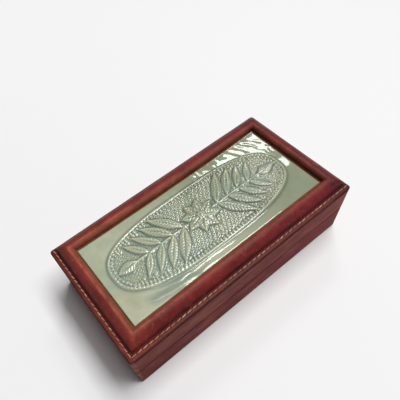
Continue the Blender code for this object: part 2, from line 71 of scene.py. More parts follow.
# Table and room, in metres. A matt white table top runs out into a white backdrop. It stands
# under a long soft box overhead on the right, with a weaker skylight beside it and one small
# bright window behind on the right.
TABLE_COLOUR = "FAFAFA"
TABLE_SIZE = 9.0
BACKDROP_COLOUR = "F4F4F4"
FADE_START, FADE_END = 0.18, 0.62
ROOM_COLOUR = "FBFBFC"
ROOM_LIGHT = 0.08
ROOM_SEEN = 0.93
LIGHT_COLOUR = "FFFFFF"
STRAIGHT_DOWN = Vector((0, 0, -1))
SOFT_BOX_PLACE = Vector((2.70, -0.57, 6.67))
SOFT_BOX_SIZE = (2.20, 4.83)
SOFT_BOX_POWER = 420.0
SKYLIGHT_PLACE = Vector((0.80, -0.57, 6.67))
SKYLIGHT_SIZE = (1.90, 4.83)
SKYLIGHT_POWER = 72.0
WINDOW_PLACE = Vector((3.60, 3.36, 5.12))
WINDOW_SIZE = (1.45, 1.00)
WINDOW_POWER = 52.0


def linear(hex_colour):
    """An sRGB colour such as 8A5048 as the linear values that Blender's sockets hold."""
    parts = [int(hex_colour[place:place + 2], 16) / 255 for place in (0, 2, 4)]
    curve = [
        part / 12.92 if part < 0.04045 else ((part + 0.055) / 1.055) ** 2.4 for part in parts
    ]
    return (*curve, 1.0)


def add_node(tree, kind, inputs=None, stops=None, **settings):
    """Adds a node with its settings. Each input is a constant or a socket to link to."""
    node = tree.nodes.new(kind)
    for name, value in settings.items():
        setattr(node, name, value)
    for name, value in (inputs or {}).items():
        if isinstance(value, bpy.types.NodeSocket):
            tree.links.new(value, node.inputs[name])
        else:
            node.inputs[name].default_value = value
    if stops:
        ramp = node.color_ramp.elements
        while len(ramp) < len(stops):
            ramp.new(1.0)
        for element, (place, colour) in zip(ramp, stops):
            element.position = place
            element.color = linear(colour)
    return node


def new_material(name):
    """A node material: its tree, its Principled shader and a socket of Object coordinates."""
    material = bpy.data.materials.new(name)
    material.use_nodes = True
    tree = material.node_tree
    tree.nodes.clear()
    shader = add_node(tree, "ShaderNodeBsdfPrincipled")
    add_node(tree, "ShaderNodeOutputMaterial", {"Surface": shader.outputs["BSDF"]})
    return material, tree, shader, add_node(tree, "ShaderNodeTexCoord").outputs["Object"]


def seen_or_mirrored(tree):
    """Adds the test for a ray from the camera, or one mirrored or bent on its way to the eye."""
    path = add_node(tree, "ShaderNodeLightPath").outputs
    mirrored = add_node(
        tree, "ShaderNodeMath", {0: path["Is Glossy Ray"], 1: path["Is Transmission Ray"]},
        operation="MAXIMUM",
    )
    seen = add_node(
        tree, "ShaderNodeMath", {0: mirrored.outputs["Value"], 1: path["Is Camera Ray"]},
        operation="MAXIMUM",
    )
    return seen.outputs["Value"]


def add_piece(name, bm, material, body=None, replaces=(), smooth=True):
    """Makes an object of a finished bmesh. With a body it rides, hiding what it replaces; without
    one it is left loose.
    """
    mesh = bpy.data.meshes.new(name)
    bm.to_mesh(mesh)
    bm.free()
    mesh.materials.append(material)
    if smooth:
        mesh.shade_smooth()
    piece = bpy.data.objects.new(name, mesh)
    scene.collection.objects.link(piece)
    if body is None:
        return
    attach(piece, body)
    if replaces:
        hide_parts(*replaces)


# Matt white paint: it scatters the light evenly and takes only a soft shadow. Away from the box
# it fades into the backdrop's own even white.
table_paint, tree, shader, where = new_material("matt_white_table_top")
shader.inputs["Base Color"].default_value = linear(TABLE_COLOUR)
shader.inputs["Roughness"].default_value = 0.9
shader.inputs["Specular IOR Level"].default_value = 0.1
from_middle = add_node(tree, "ShaderNodeVectorMath", {0: where}, operation="LENGTH")
far_off = add_node(
    tree, "ShaderNodeMapRange",
    {"Value": from_middle.outputs["Value"], "From Min": FADE_START, "From Max": FADE_END},
)
fade = add_node(
    tree, "ShaderNodeMath", {0: far_off.outputs["Result"], 1: seen_or_mirrored(tree)},
    operation="MULTIPLY",
)
backdrop = add_node(
    tree, "ShaderNodeEmission", {"Color": linear(BACKDROP_COLOUR), "Strength": 1.0}
)
table_shade = add_node(
    tree, "ShaderNodeMixShader",
    {0: fade.outputs["Value"], 1: shader.outputs["BSDF"], 2: backdrop.outputs["Emission"]},
)
tree.links.new(table_shade.outputs["Shader"], tree.nodes["Material Output"].inputs["Surface"])

bm = bmesh.new()
bmesh.ops.create_grid(bm, x_segments=1, y_segments=1, size=TABLE_SIZE / 2)
add_piece("table_top", bm, table_paint)

world = bpy.data.worlds.new("white_room")
world.use_nodes = True
scene.world = world
tree = world.node_tree
tree.nodes.clear()
walls, seen_walls = (
    add_node(tree, "ShaderNodeBackground", {"Color": linear(ROOM_COLOUR), "Strength": strength})
    for strength in (ROOM_LIGHT, ROOM_SEEN)
)
room = add_node(
    tree, "ShaderNodeMixShader",
    {
        0: seen_or_mirrored(tree), 1: walls.outputs["Background"],
        2: seen_walls.outputs["Background"],
    },
)
add_node(tree, "ShaderNodeOutputWorld", {"Surface": room.outputs["Shader"]})

for name, place, aim, size, power in (
    ("soft_box", SOFT_BOX_PLACE, STRAIGHT_DOWN, SOFT_BOX_SIZE, SOFT_BOX_POWER),
    ("skylight", SKYLIGHT_PLACE, STRAIGHT_DOWN, SKYLIGHT_SIZE, SKYLIGHT_POWER),
    ("window", WINDOW_PLACE, -WINDOW_PLACE, WINDOW_SIZE, WINDOW_POWER),
):
    light = bpy.data.lights.new(name, "AREA")
    light.shape = "RECTANGLE"
    light.size, light.size_y = size
    light.energy = power
    light.color = linear(LIGHT_COLOUR)[:3]
    lamp = bpy.data.objects.new(name, light)
    lamp.location = place
    lamp.rotation_euler = aim.to_track_quat("-Z", "Y").to_euler()
    scene.collection.objects.link(lamp)


# Top leather. One piece of waxed oxblood calf is wetted and drawn over four padded mouldings, then
# pasted down in the tile's well. Its flat rim is sewn to a welt of the same leather. On the back
# and right sides the padding pushes out over the rim, so that only a narrow strip shows there.
LID_LENGTH, LID_WIDTH = 250.0, 127.4
LEATHER_THICKNESS = 1.2
RIM_FOOT = 61.0
WELT_ROOM = 1.3
RIM_CORNER = 2.6
CORNER_CUTS = 6
RIM_STEP = 0.95
RIM_ROUND = 0.45
RIM_UNDER_EDGE = ((RIM_ROUND, 0.0), (0.1, 0.12), (0.0, RIM_ROUND))
RIM_TOP_EDGE = ((0.0, -RIM_ROUND), (0.13, -0.13), (RIM_ROUND, 0.0))
RIM_LOOPS = (1.2, 2.0, 2.6, 3.1, 3.5, 3.9, 4.3, 4.8)
RIM_SHOWN = 2.2
RIM_PARED = 3.2
RIM_DROOP = 0.8
RIM_WOBBLE = 0.22
RIM_WOBBLE_LENGTH = 17.0
RIM_WAVE = 0.28
RIM_WAVE_LENGTH = 30.0
STITCH_INSET = 3.7
STITCHES_LONG, STITCHES_SHORT = 45, 23
STITCH_GROOVE = 0.16
STITCH_GROOVE_WIDTH = 0.75
HOLE_DIP = 0.2
HOLE_REACH = 1.0
CREASE_INSET = 5.5
CREASE_WIDTH = 0.6
CREASE_DEPTH = 0.2
CREASE_CORNER = 1.6
SLOPE_STEPS = 14
SLOPE_STEEP = (0.12, 0.66)
SLOPE_LEVEL = 0.45
PAD_WAVE = 0.4
PAD_WAVE_LENGTH = 22.0
PAD_DIMPLE = 0.45
PAD_DIMPLE_LENGTH = 8.0
RIDGE_INSET = 14.8
RIDGE_TOP = 73.5
WELL_INSET = 18.6
WELL_ROUND = 3.5
WELL_STEPS = 7
WELL_CORNER = 0.9
BACK_BOW = 1.7
TILE_LEFT, TILE_RIGHT = 105.6, 104.3
TILE_FRONT, TILE_BACK = 44.2, 43.6
TILE_TOP = 69.4
TILE_CORNER = 1.0
TILE_CLEARANCE = 0.08
# Insets run inwards from the lid's outer edge. The turned-in edge is given in shares of the way
# to the slab and depths below its face, and the hidden inner face in insets and heights.
TURNED_IN = ((0.0, 0.5), (0.45, 0.8), (1.0, 1.1), (1.0, 2.2))
INNER_FACE = (
    (WELL_INSET, TILE_TOP - 2.8),
    (WELL_INSET, RIM_FOOT + 0.1),
    (WELL_INSET - LEATHER_THICKNESS, RIM_FOOT + 0.1),
    (WELL_INSET - LEATHER_THICKNESS, 68.8),
    (RIDGE_INSET, RIDGE_TOP - LEATHER_THICKNESS),
    (10.0, 70.7),
    (7.4, 66.8),
    (6.9, RIM_FOOT + WELT_ROOM),
)

tile_half_x, tile_half_y = (TILE_LEFT + TILE_RIGHT) / 2, (TILE_FRONT + TILE_BACK) / 2
tile_centre = Vector(((TILE_RIGHT - TILE_LEFT) / 2, (TILE_BACK - TILE_FRONT) / 2, 0.0))


def ring_outline(half_x, half_y, corner, step):
    """A bmesh of one closed loop: a rounded rectangle, cut up along its sides, without a face."""
    bm = bmesh.new()
    bmesh.ops.create_grid(bm, x_segments=1, y_segments=1, size=1.0)
    bmesh.ops.scale(bm, vec=(half_x, half_y, 1.0), verts=bm.verts)
    bmesh.ops.bevel(
        bm, geom=bm.verts[:], offset=corner, offset_type="OFFSET",
        affect="VERTICES", segments=CORNER_CUTS, profile=0.5, material=-1,
    )
    bmesh.ops.delete(bm, geom=bm.faces[:], context="FACES_ONLY")
    for axis, half in ((0, half_x), (1, half_y)):
        run = [
            edge for edge in bm.edges
            if abs(edge.verts[0].co[axis] - edge.verts[1].co[axis]) > half
        ]
        bmesh.ops.subdivide_edges(bm, edges=run, cuts=int(2 * half / step))
    return bm


def extruded_loops(bm, count):
    """Extrudes the outline in place into count loops. Gives them, and the edges of both ends."""
    edges = bm.edges[:]
    first = edges
    loops = [bm.verts[:]]
    for _ in range(count - 1):
        made = bmesh.ops.extrude_edge_only(bm, edges=edges)["geom"]
        loops.append([part for part in made if isinstance(part, bmesh.types.BMVert)])
        fresh = set(loops[-1])
        edges = [
            part for part in made
            if isinstance(part, bmesh.types.BMEdge) and fresh.issuperset(part.verts)
        ]
    return loops, first, edges


def on_ring(point, half_x, half_y, radius):
    """Where a point of the outline goes when it becomes a ring of another size and radius."""
    core_x, core_y = LID_LENGTH / 2 - RIM_CORNER, LID_WIDTH / 2 - RIM_CORNER
    near_x = max(-core_x, min(core_x, point.x))
    near_y = max(-core_y, min(core_y, point.y))
    x = near_x / core_x * (half_x - radius) + (point.x - near_x) / RIM_CORNER * radius
    y = near_y / core_y * (half_y - radius) + (point.y - near_y) / RIM_CORNER * radius
    return x, y


def pushed_out(inset):
    """Where an inset of the section goes on the sides where the padding pushes out."""
    if inset < CREASE_INSET:
        return inset * RIM_SHOWN / CREASE_INSET
    if inset < RIDGE_INSET:
        spread = (RIDGE_INSET - RIM_SHOWN) / (RIDGE_INSET - CREASE_INSET)
        return RIM_SHOWN + (inset - CREASE_INSET) * spread
    return inset


def pad_section():
    """The leather's surface from the rim's foot to the wall of the well, in inset and height."""
    rim_under = RIM_FOOT + WELT_ROOM
    rim_top = rim_under + LEATHER_THICKNESS
    points = [(inset, rim_under + rise) for inset, rise in RIM_UNDER_EDGE]
    points += [(inset, rim_top + rise) for inset, rise in RIM_TOP_EDGE]
    points += [(inset, rim_top) for inset in RIM_LOOPS]
    points += [(CREASE_INSET - CREASE_WIDTH, rim_top), (CREASE_INSET, rim_top - CREASE_DEPTH / 2)]
    start = Vector((CREASE_INSET + CREASE_WIDTH / 2, rim_top - CREASE_DEPTH))
    crest = Vector((RIDGE_INSET, RIDGE_TOP))
    span = crest - start
    steep = start + Vector((span.x * SLOPE_STEEP[0], span.y * SLOPE_STEEP[1]))
    handles = (start, steep, crest - Vector((span.x * SLOPE_LEVEL, 0)), crest)
    for step in range(SLOPE_STEPS + 1):
        t = step / SLOPE_STEPS
        weights = ((1 - t) ** 3, 3 * (1 - t) ** 2 * t, 3 * (1 - t) * t**2, t**3)
        place = sum((handle * weight for handle, weight in zip(handles, weights)), Vector((0, 0)))
        points.append(tuple(place))
    for step in range(1, WELL_STEPS + 1):
        angle = math.pi / 2 * (1 - step / WELL_STEPS)
        inset = WELL_INSET - WELL_ROUND + WELL_ROUND * math.cos(angle)
        points.append((inset, RIDGE_TOP - WELL_ROUND + WELL_ROUND * math.sin(angle)))
    return points + [(WELL_INSET, TILE_TOP)]


seam_shift = (STITCH_INSET - pushed_out(STITCH_INSET)) / 2
seam_half_x = (LID_LENGTH - STITCH_INSET - pushed_out(STITCH_INSET)) / 2
seam_half_y = (LID_WIDTH - STITCH_INSET - pushed_out(STITCH_INSET)) / 2


def hole_distance(x, y):
    """How far a point of the rim is from the nearest stitch hole, in millimetres."""
    x, y = x - seam_shift, y - seam_shift
    if seam_half_y - abs(y) < seam_half_x - abs(x):
        pitch = 2 * seam_half_x / STITCHES_LONG
        along = (x + seam_half_x) / pitch
        off = seam_half_y - abs(y)
    else:
        pitch = 2 * seam_half_y / STITCHES_SHORT
        along = (y + seam_half_y) / pitch
        off = seam_half_x - abs(x)
    return math.hypot((along - round(along)) * pitch, off)


def waves(x, y, length, seed):
    """Soft waves over the lid, from -1 to 1 and about length millimetres long."""
    return noise.noise(Vector((x / length, y / length, seed)))


def rim_lift(inset, x, y):
    """How far the rim's own waves lift it. They die out towards the crease."""
    share = max(0.0, 1 - inset / CREASE_INSET)
    return RIM_WAVE * share * waves(x, y, RIM_WAVE_LENGTH, seed=8.0)


section = pad_section()
profile = [(inset, height, 0.0) for inset, height in section]
profile += [(WELL_INSET, TILE_TOP - depth, share) for share, depth in TURNED_IN]
profile += [(inset, height, 0.0) for inset, height in INNER_FACE]
shown = len(section) + len(TURNED_IN)
reach = [0.0]
for before, after in zip(profile, profile[1:]):
    reach.append(reach[-1] + math.dist(before, after))

bm = ring_outline(LID_LENGTH / 2, LID_WIDTH / 2, RIM_CORNER, RIM_STEP)
across = bm.verts.layers.float.new("across")
loops, first_edges, last_edges = extruded_loops(bm, len(profile))
for number, (loop, (inset, height, turned)) in enumerate(zip(loops, profile)):
    rim = max(0.0, 1 - inset / CREASE_INSET)
    share = min(1.0, max(0.0, (inset - CREASE_INSET) / (WELL_INSET - CREASE_INSET)))
    pad = math.sin(math.pi * share) if share < 1 else 0.0
    if inset < CREASE_INSET:
        radius = RIM_CORNER + (CREASE_CORNER - RIM_CORNER) * inset / CREASE_INSET
    else:
        radius = CREASE_CORNER + (WELL_CORNER - CREASE_CORNER) * share
    far_inset = pushed_out(inset)
    half_x, half_y = (LID_LENGTH - inset - far_inset) / 2, (LID_WIDTH - inset - far_inset) / 2
    on_rim_top = inset < CREASE_INSET and height > RIM_FOOT + WELT_ROOM + RIM_ROUND
    for vertex in loop:
        unevenness = 1 + waves(vertex.co.x, vertex.co.y, RIM_WOBBLE_LENGTH, seed=13.0)
        wobble = RIM_WOBBLE * rim * unevenness / 2
        x, y = on_ring(vertex.co, half_x - wobble, half_y - wobble, radius)
        x += (inset - far_inset) / 2
        y += (inset - far_inset) / 2
        z = height
        if number < shown:
            if on_rim_top:
                z -= STITCH_GROOVE * math.exp(-((inset - STITCH_INSET) / STITCH_GROOVE_WIDTH) ** 2)
                z -= HOLE_DIP * math.exp(-(hole_distance(x, y) / HOLE_REACH) ** 2)
                z -= RIM_DROOP * max(0.0, 1 - inset / RIM_PARED) ** 2
            dimples = PAD_DIMPLE * waves(x, y, PAD_DIMPLE_LENGTH, seed=4.0)
            z += PAD_WAVE * pad * (waves(x, y, PAD_WAVE_LENGTH, seed=1.0) + dimples)
        z += rim_lift(inset, x, y)
        if turned:
            slab_x, slab_y = on_ring(
                vertex.co, tile_half_x + TILE_CLEARANCE, tile_half_y + TILE_CLEARANCE, TILE_CORNER
            )
            x += (slab_x + tile_centre.x - x) * turned
            y += (slab_y + tile_centre.y - y) * turned
        if y > 0:
            y -= BACK_BOW * share * max(0.0, 1 - (x / half_x) ** 2)
        vertex.co = Vector((x, y, z)) * MM
        vertex[across] = min(1.0, reach[number] / reach[shown])
bmesh.ops.bridge_loops(bm, edges=first_edges + last_edges)
bmesh.ops.recalc_face_normals(bm, faces=bm.faces)

# Waxed oxblood calf, softly shining over a fine pebbled grain. Its colour carries painted light
# and shade: nearly black in the creases as painted shade, paler and redder along the crests as a
# painted highlight. The pebbles are drawn coarser than calf's own, which are too fine to show.
GRAIN_PEBBLE = 0.9
GRAIN_DEPTH = 0.1
DYE_PATCH = 26.3
DYE_FLECK = 7.69
HIGHLIGHT_STREAK = 13.33
RUB_MARK = 6.25
CREST_HIGHLIGHT_COLOUR = "B4604F"
RUBBED_CALF = "A86A5C"
LIGHT_FALLOFF_ENDS = 130.0
HIGHLIGHT_FADES_AT = 10.0
WINE_ENDS = 100.0
RIGHT_SIDE_FROM, RIGHT_SIDE_TO = TILE_RIGHT - 8.0, TILE_RIGHT + 3.0
BACK_SIDE_FROM, BACK_SIDE_TO = 49.0, 55.0
RIGHT_SIDE_SHADE = 0.74
BACK_SIDE_SHADE = 0.65


def pebbled(tree, where, strength):
    """Adds the calf's pebbled grain as a bump, and returns its normals."""
    pebbles = add_node(
        tree, "ShaderNodeTexVoronoi", {"Vector": where, "Scale": 1 / (GRAIN_PEBBLE * MM)},
        feature="SMOOTH_F1",
    )
    grain = add_node(
        tree, "ShaderNodeBump",
        {
            "Height": pebbles.outputs["Distance"], "Strength": strength,
            "Distance": GRAIN_DEPTH * MM,
        },
    )
    return grain.outputs["Normal"]


calf, tree, shader, where = new_material("waxed_oxblood_calf")
place = add_node(tree, "ShaderNodeSeparateXYZ", {"Vector": where}).outputs
along_section = add_node(tree, "ShaderNodeAttribute", attribute_name="across").outputs["Fac"]
# Painted light and shade across the section: dark at the rim's edge and in the crease, paler on the
# crest, and brown-orange on the well's wall where the light falls on it.
section_shading = add_node(
    tree, "ShaderNodeValToRGB", {"Fac": along_section},
    stops=[
        (0.0, "431A15"), (0.05, "5A2A22"), (0.09, "68332A"), (0.14, "642B22"), (0.165, "5A221B"),
        (0.195, "4E1913"), (0.25, "5C1B16"), (0.36, "6E2620"), (0.50, "7A2F28"), (0.60, "7C352C"),
        (0.68, "823E2F"), (0.74, "7E422F"), (0.84, "78432C"), (1.0, "664028"),
    ],
)
patches = add_node(
    tree, "ShaderNodeTexNoise",
    {"Vector": where, "Scale": 1 / (DYE_PATCH * MM), "Detail": 4.0, "Roughness": 0.6},
).outputs["Fac"]
patch_level = add_node(
    tree, "ShaderNodeMapRange",
    {"Value": patches, "From Min": 0.3, "From Max": 0.7, "To Min": 0.72, "To Max": 1.22},
)
flecks = add_node(
    tree, "ShaderNodeTexNoise",
    {"Vector": where, "Scale": 1 / (DYE_FLECK * MM), "Detail": 5.0, "Roughness": 0.65},
).outputs["Fac"]
fleck_level = add_node(
    tree, "ShaderNodeMapRange",
    {"Value": flecks, "From Min": 0.35, "From Max": 0.65, "To Min": 0.84, "To Max": 1.16},
)
# Painted shade: the whole top is darkened towards its right end.
shade_to_right = add_node(
    tree, "ShaderNodeMapRange",
    {
        "Value": place["X"], "From Min": -LIGHT_FALLOFF_ENDS * MM, "From Max": LIGHT_FALLOFF_ENDS * MM,
        "To Min": 1.03, "To Max": 0.86,
    },
)
# Painted shade: the right side's inner slope and the back slope are darkened, as they face away
# from the light.
right_side_shade, back_side_shade = (
    add_node(
        tree, "ShaderNodeMapRange",
        {"Value": way, "From Min": start * MM, "From Max": end * MM, "To Min": 1.0, "To Max": shaded_tone},
    )
    for way, start, end, shaded_tone in (
        (place["X"], RIGHT_SIDE_FROM, RIGHT_SIDE_TO, RIGHT_SIDE_SHADE),
        (place["Y"], BACK_SIDE_FROM, BACK_SIDE_TO, BACK_SIDE_SHADE),
    )
)
# The tone is the dye's own patches and flecks multiplied by the painted shade.
shaded_tone = patch_level.outputs["Result"]
for level in (shade_to_right, right_side_shade, back_side_shade, fleck_level):
    shaded_tone = add_node(
        tree, "ShaderNodeMath", {0: shaded_tone, 1: level.outputs["Result"]}, operation="MULTIPLY"
    ).outputs["Value"]
wine = add_node(
    tree, "ShaderNodeMapRange",
    {
        "Value": place["X"], "From Min": -WINE_ENDS * MM, "From Max": WINE_ENDS * MM,
        "To Min": 0.498, "To Max": 0.489,
    },
)
toned = add_node(
    tree, "ShaderNodeHueSaturation",
    {"Color": section_shading.outputs["Color"], "Value": shaded_tone, "Hue": wine.outputs["Result"]},
)
# Painted highlight: a pale band along the crests, strongest at the left end and broken into
# streaks.
crest_highlight_band = add_node(
    tree, "ShaderNodeValToRGB", {"Fac": along_section},
    stops=[
        (0.56, "000000"), (0.63, "585858"), (0.67, "FFFFFF"), (0.705, "A0A0A0"),
        (0.75, "202020"), (0.84, "000000"),
    ],
)
left_end_highlight = add_node(
    tree, "ShaderNodeMapRange",
    {
        "Value": place["X"], "From Min": -LIGHT_FALLOFF_ENDS * MM, "From Max": HIGHLIGHT_FADES_AT * MM,
        "To Min": 1.25, "To Max": 0.26,
    },
)
streaks = add_node(
    tree, "ShaderNodeTexNoise",
    {
        "Vector": where, "Scale": 1 / (HIGHLIGHT_STREAK * MM), "Detail": 5.0, "Roughness": 0.68,
        "Distortion": 0.8,
    },
).outputs["Fac"]
streak_level = add_node(
    tree, "ShaderNodeMapRange",
    {"Value": streaks, "From Min": 0.38, "From Max": 0.64, "To Min": 0.08, "To Max": 1.05},
)
streaked_highlight = add_node(
    tree, "ShaderNodeMath", {0: left_end_highlight.outputs["Result"], 1: streak_level.outputs["Result"]},
    operation="MULTIPLY",
)
crest_highlight = add_node(
    tree, "ShaderNodeMath", {0: crest_highlight_band.outputs["Color"], 1: streaked_highlight.outputs["Value"]},
    operation="MULTIPLY", use_clamp=True,
)
rubs = add_node(
    tree, "ShaderNodeTexNoise",
    {
        "Vector": where, "Scale": 1 / (RUB_MARK * MM), "Detail": 6.0, "Roughness": 0.7,
        "Distortion": 1.2,
    },
).outputs["Fac"]
rub_level = add_node(
    tree, "ShaderNodeMapRange",
    {"Value": rubs, "From Min": 0.56, "From Max": 0.74, "To Min": 0.0, "To Max": 0.42},
)
colour = toned.outputs["Color"]
for share, paler in (
    (crest_highlight.outputs["Value"], CREST_HIGHLIGHT_COLOUR),
    (rub_level.outputs["Result"], RUBBED_CALF),
):
    colour = add_node(
        tree, "ShaderNodeMixRGB", {"Fac": share, "Color1": colour, "Color2": linear(paler)}
    ).outputs["Color"]
tree.links.new(colour, shader.inputs["Base Color"])
dents = add_node(
    tree, "ShaderNodeBump",
    {
        "Height": rubs, "Strength": 0.35, "Distance": 0.5 * MM,
        "Normal": pebbled(tree, where, 0.25),
    },
)
tree.links.new(dents.outputs["Normal"], shader.inputs["Normal"])
shine = add_node(
    tree, "ShaderNodeMapRange",
    {"Value": patches, "From Min": 0.3, "From Max": 0.7, "To Min": 0.36, "To Max": 0.52},
)
tree.links.new(shine.outputs["Result"], shader.inputs["Roughness"])
shader.inputs["Specular IOR Level"].default_value = 0.1

add_piece("leather_top", bm, calf, "lid", ["top_cover"])


# Stitching. A waxed linen thread is sewn through rim and welt in saddle stitch, about five and a
# half millimetres to the stitch, each one a little aslant and drawn down into its holes. On the
# back and right sides it is drawn deeper, under the padding.
THREAD = 0.82
THREAD_FLATNESS = 0.8
THREAD_SPREAD = (0.9, 1.1)
STITCH_LENGTH = 5.0
STITCH_SPREAD = (0.95, 1.03)
STITCH_SLANT = 6.0
SLANT_SPREAD = (-3.0, 3.0)
STITCH_END_DIP = 0.16
STITCH_SINK = 0.42
STITCH_HEIGHT = RIM_FOOT + WELT_ROOM + LEATHER_THICKNESS - 0.05
HEIGHT_SPREAD = (-0.04, 0.04)

# Waxed linen thread: pale and dull, tanned by the leather's dye, its plies showing as slanting
# bands. At scale 1 a wave texture has its diagonal bands a fifth of pi apart.
PLY_SPACING = 1.257
THREAD_DIRT = 8.33
linen, tree, shader, where = new_material("waxed_linen_thread")
dirt = add_node(
    tree, "ShaderNodeTexNoise", {"Vector": where, "Scale": 1 / (THREAD_DIRT * MM), "Detail": 3.0}
)
thread_colour = add_node(
    tree, "ShaderNodeValToRGB", {"Fac": dirt.outputs["Fac"]},
    stops=[(0.3, "8C6248"), (0.5, "BC9070"), (0.68, "DCBB92")],
)
tree.links.new(thread_colour.outputs["Color"], shader.inputs["Base Color"])
twist = add_node(
    tree, "ShaderNodeTexWave",
    {"Vector": where, "Scale": math.pi / 5 / (PLY_SPACING * MM), "Distortion": 2.0},
    bands_direction="DIAGONAL",
)
ply = add_node(
    tree, "ShaderNodeBump",
    {"Height": twist.outputs["Fac"], "Strength": 0.5, "Distance": 0.15 * MM},
)
tree.links.new(ply.outputs["Normal"], shader.inputs["Normal"])
shader.inputs["Roughness"].default_value = 0.65

random.seed(4)
bm = bmesh.new()
for half_along, half_across, count, turn, sunk in (
    (seam_half_x, seam_half_y, STITCHES_LONG, 0.0, 0.0),
    (seam_half_y, seam_half_x, STITCHES_SHORT, 90.0, STITCH_SINK),
    (seam_half_x, seam_half_y, STITCHES_LONG, 180.0, STITCH_SINK),
    (seam_half_y, seam_half_x, STITCHES_SHORT, 270.0, 0.0),
):
    pitch = 2 * half_along / count
    for number in range(count):
        along = -half_along + pitch * (number + 0.5)
        made = bmesh.ops.create_uvsphere(bm, u_segments=8, v_segments=6, radius=0.5)["verts"]
        length = STITCH_LENGTH * random.uniform(*STITCH_SPREAD)
        width = THREAD * random.uniform(*THREAD_SPREAD)
        slant = math.radians(STITCH_SLANT + random.uniform(*SLANT_SPREAD))
        bmesh.ops.rotate(bm, matrix=Matrix.Rotation(math.pi / 2, 3, "Y"), verts=made)
        bmesh.ops.scale(bm, vec=(length, width, THREAD * THREAD_FLATNESS), verts=made)
        for vertex in made:
            vertex.co.z -= STITCH_END_DIP * abs(2 * vertex.co.x / STITCH_LENGTH) ** 3
        bmesh.ops.rotate(bm, matrix=Matrix.Rotation(slant, 3, "Z"), verts=made)
        height = STITCH_HEIGHT - sunk + random.uniform(*HEIGHT_SPREAD)
        bmesh.ops.translate(bm, vec=(along, -half_across, height), verts=made)
        bmesh.ops.rotate(bm, matrix=Matrix.Rotation(math.radians(turn), 3, "Z"), verts=made)
        bmesh.ops.translate(bm, vec=(seam_shift, seam_shift, 0), verts=made)
        for vertex in made:
            vertex.co.z += rim_lift(STITCH_INSET, vertex.co.x, vertex.co.y)
bmesh.ops.scale(bm, vec=(MM, MM, MM), verts=bm.verts)
add_piece("rim_stitches", bm, linen, "lid")


# Side bands and welt. The sides are covered with plain bands of the same calf, glued round the
# boards and folded in at the seam. The lid's is dulled by dust and the tray's keeps its red. The
# welt under the rim is painted darkest, and the bands dark under the rim and at the seam, as
# painted shade.
SEAM_HEIGHT = 31.2
SEAM_REACH = 0.75
UNDER_RIM_START, UNDER_RIM_END = 3.2, 0.6
CORNER_WEAR_START, CORNER_WEAR_END = 4.5, 2.2
SIDE_ENDS = 120.0
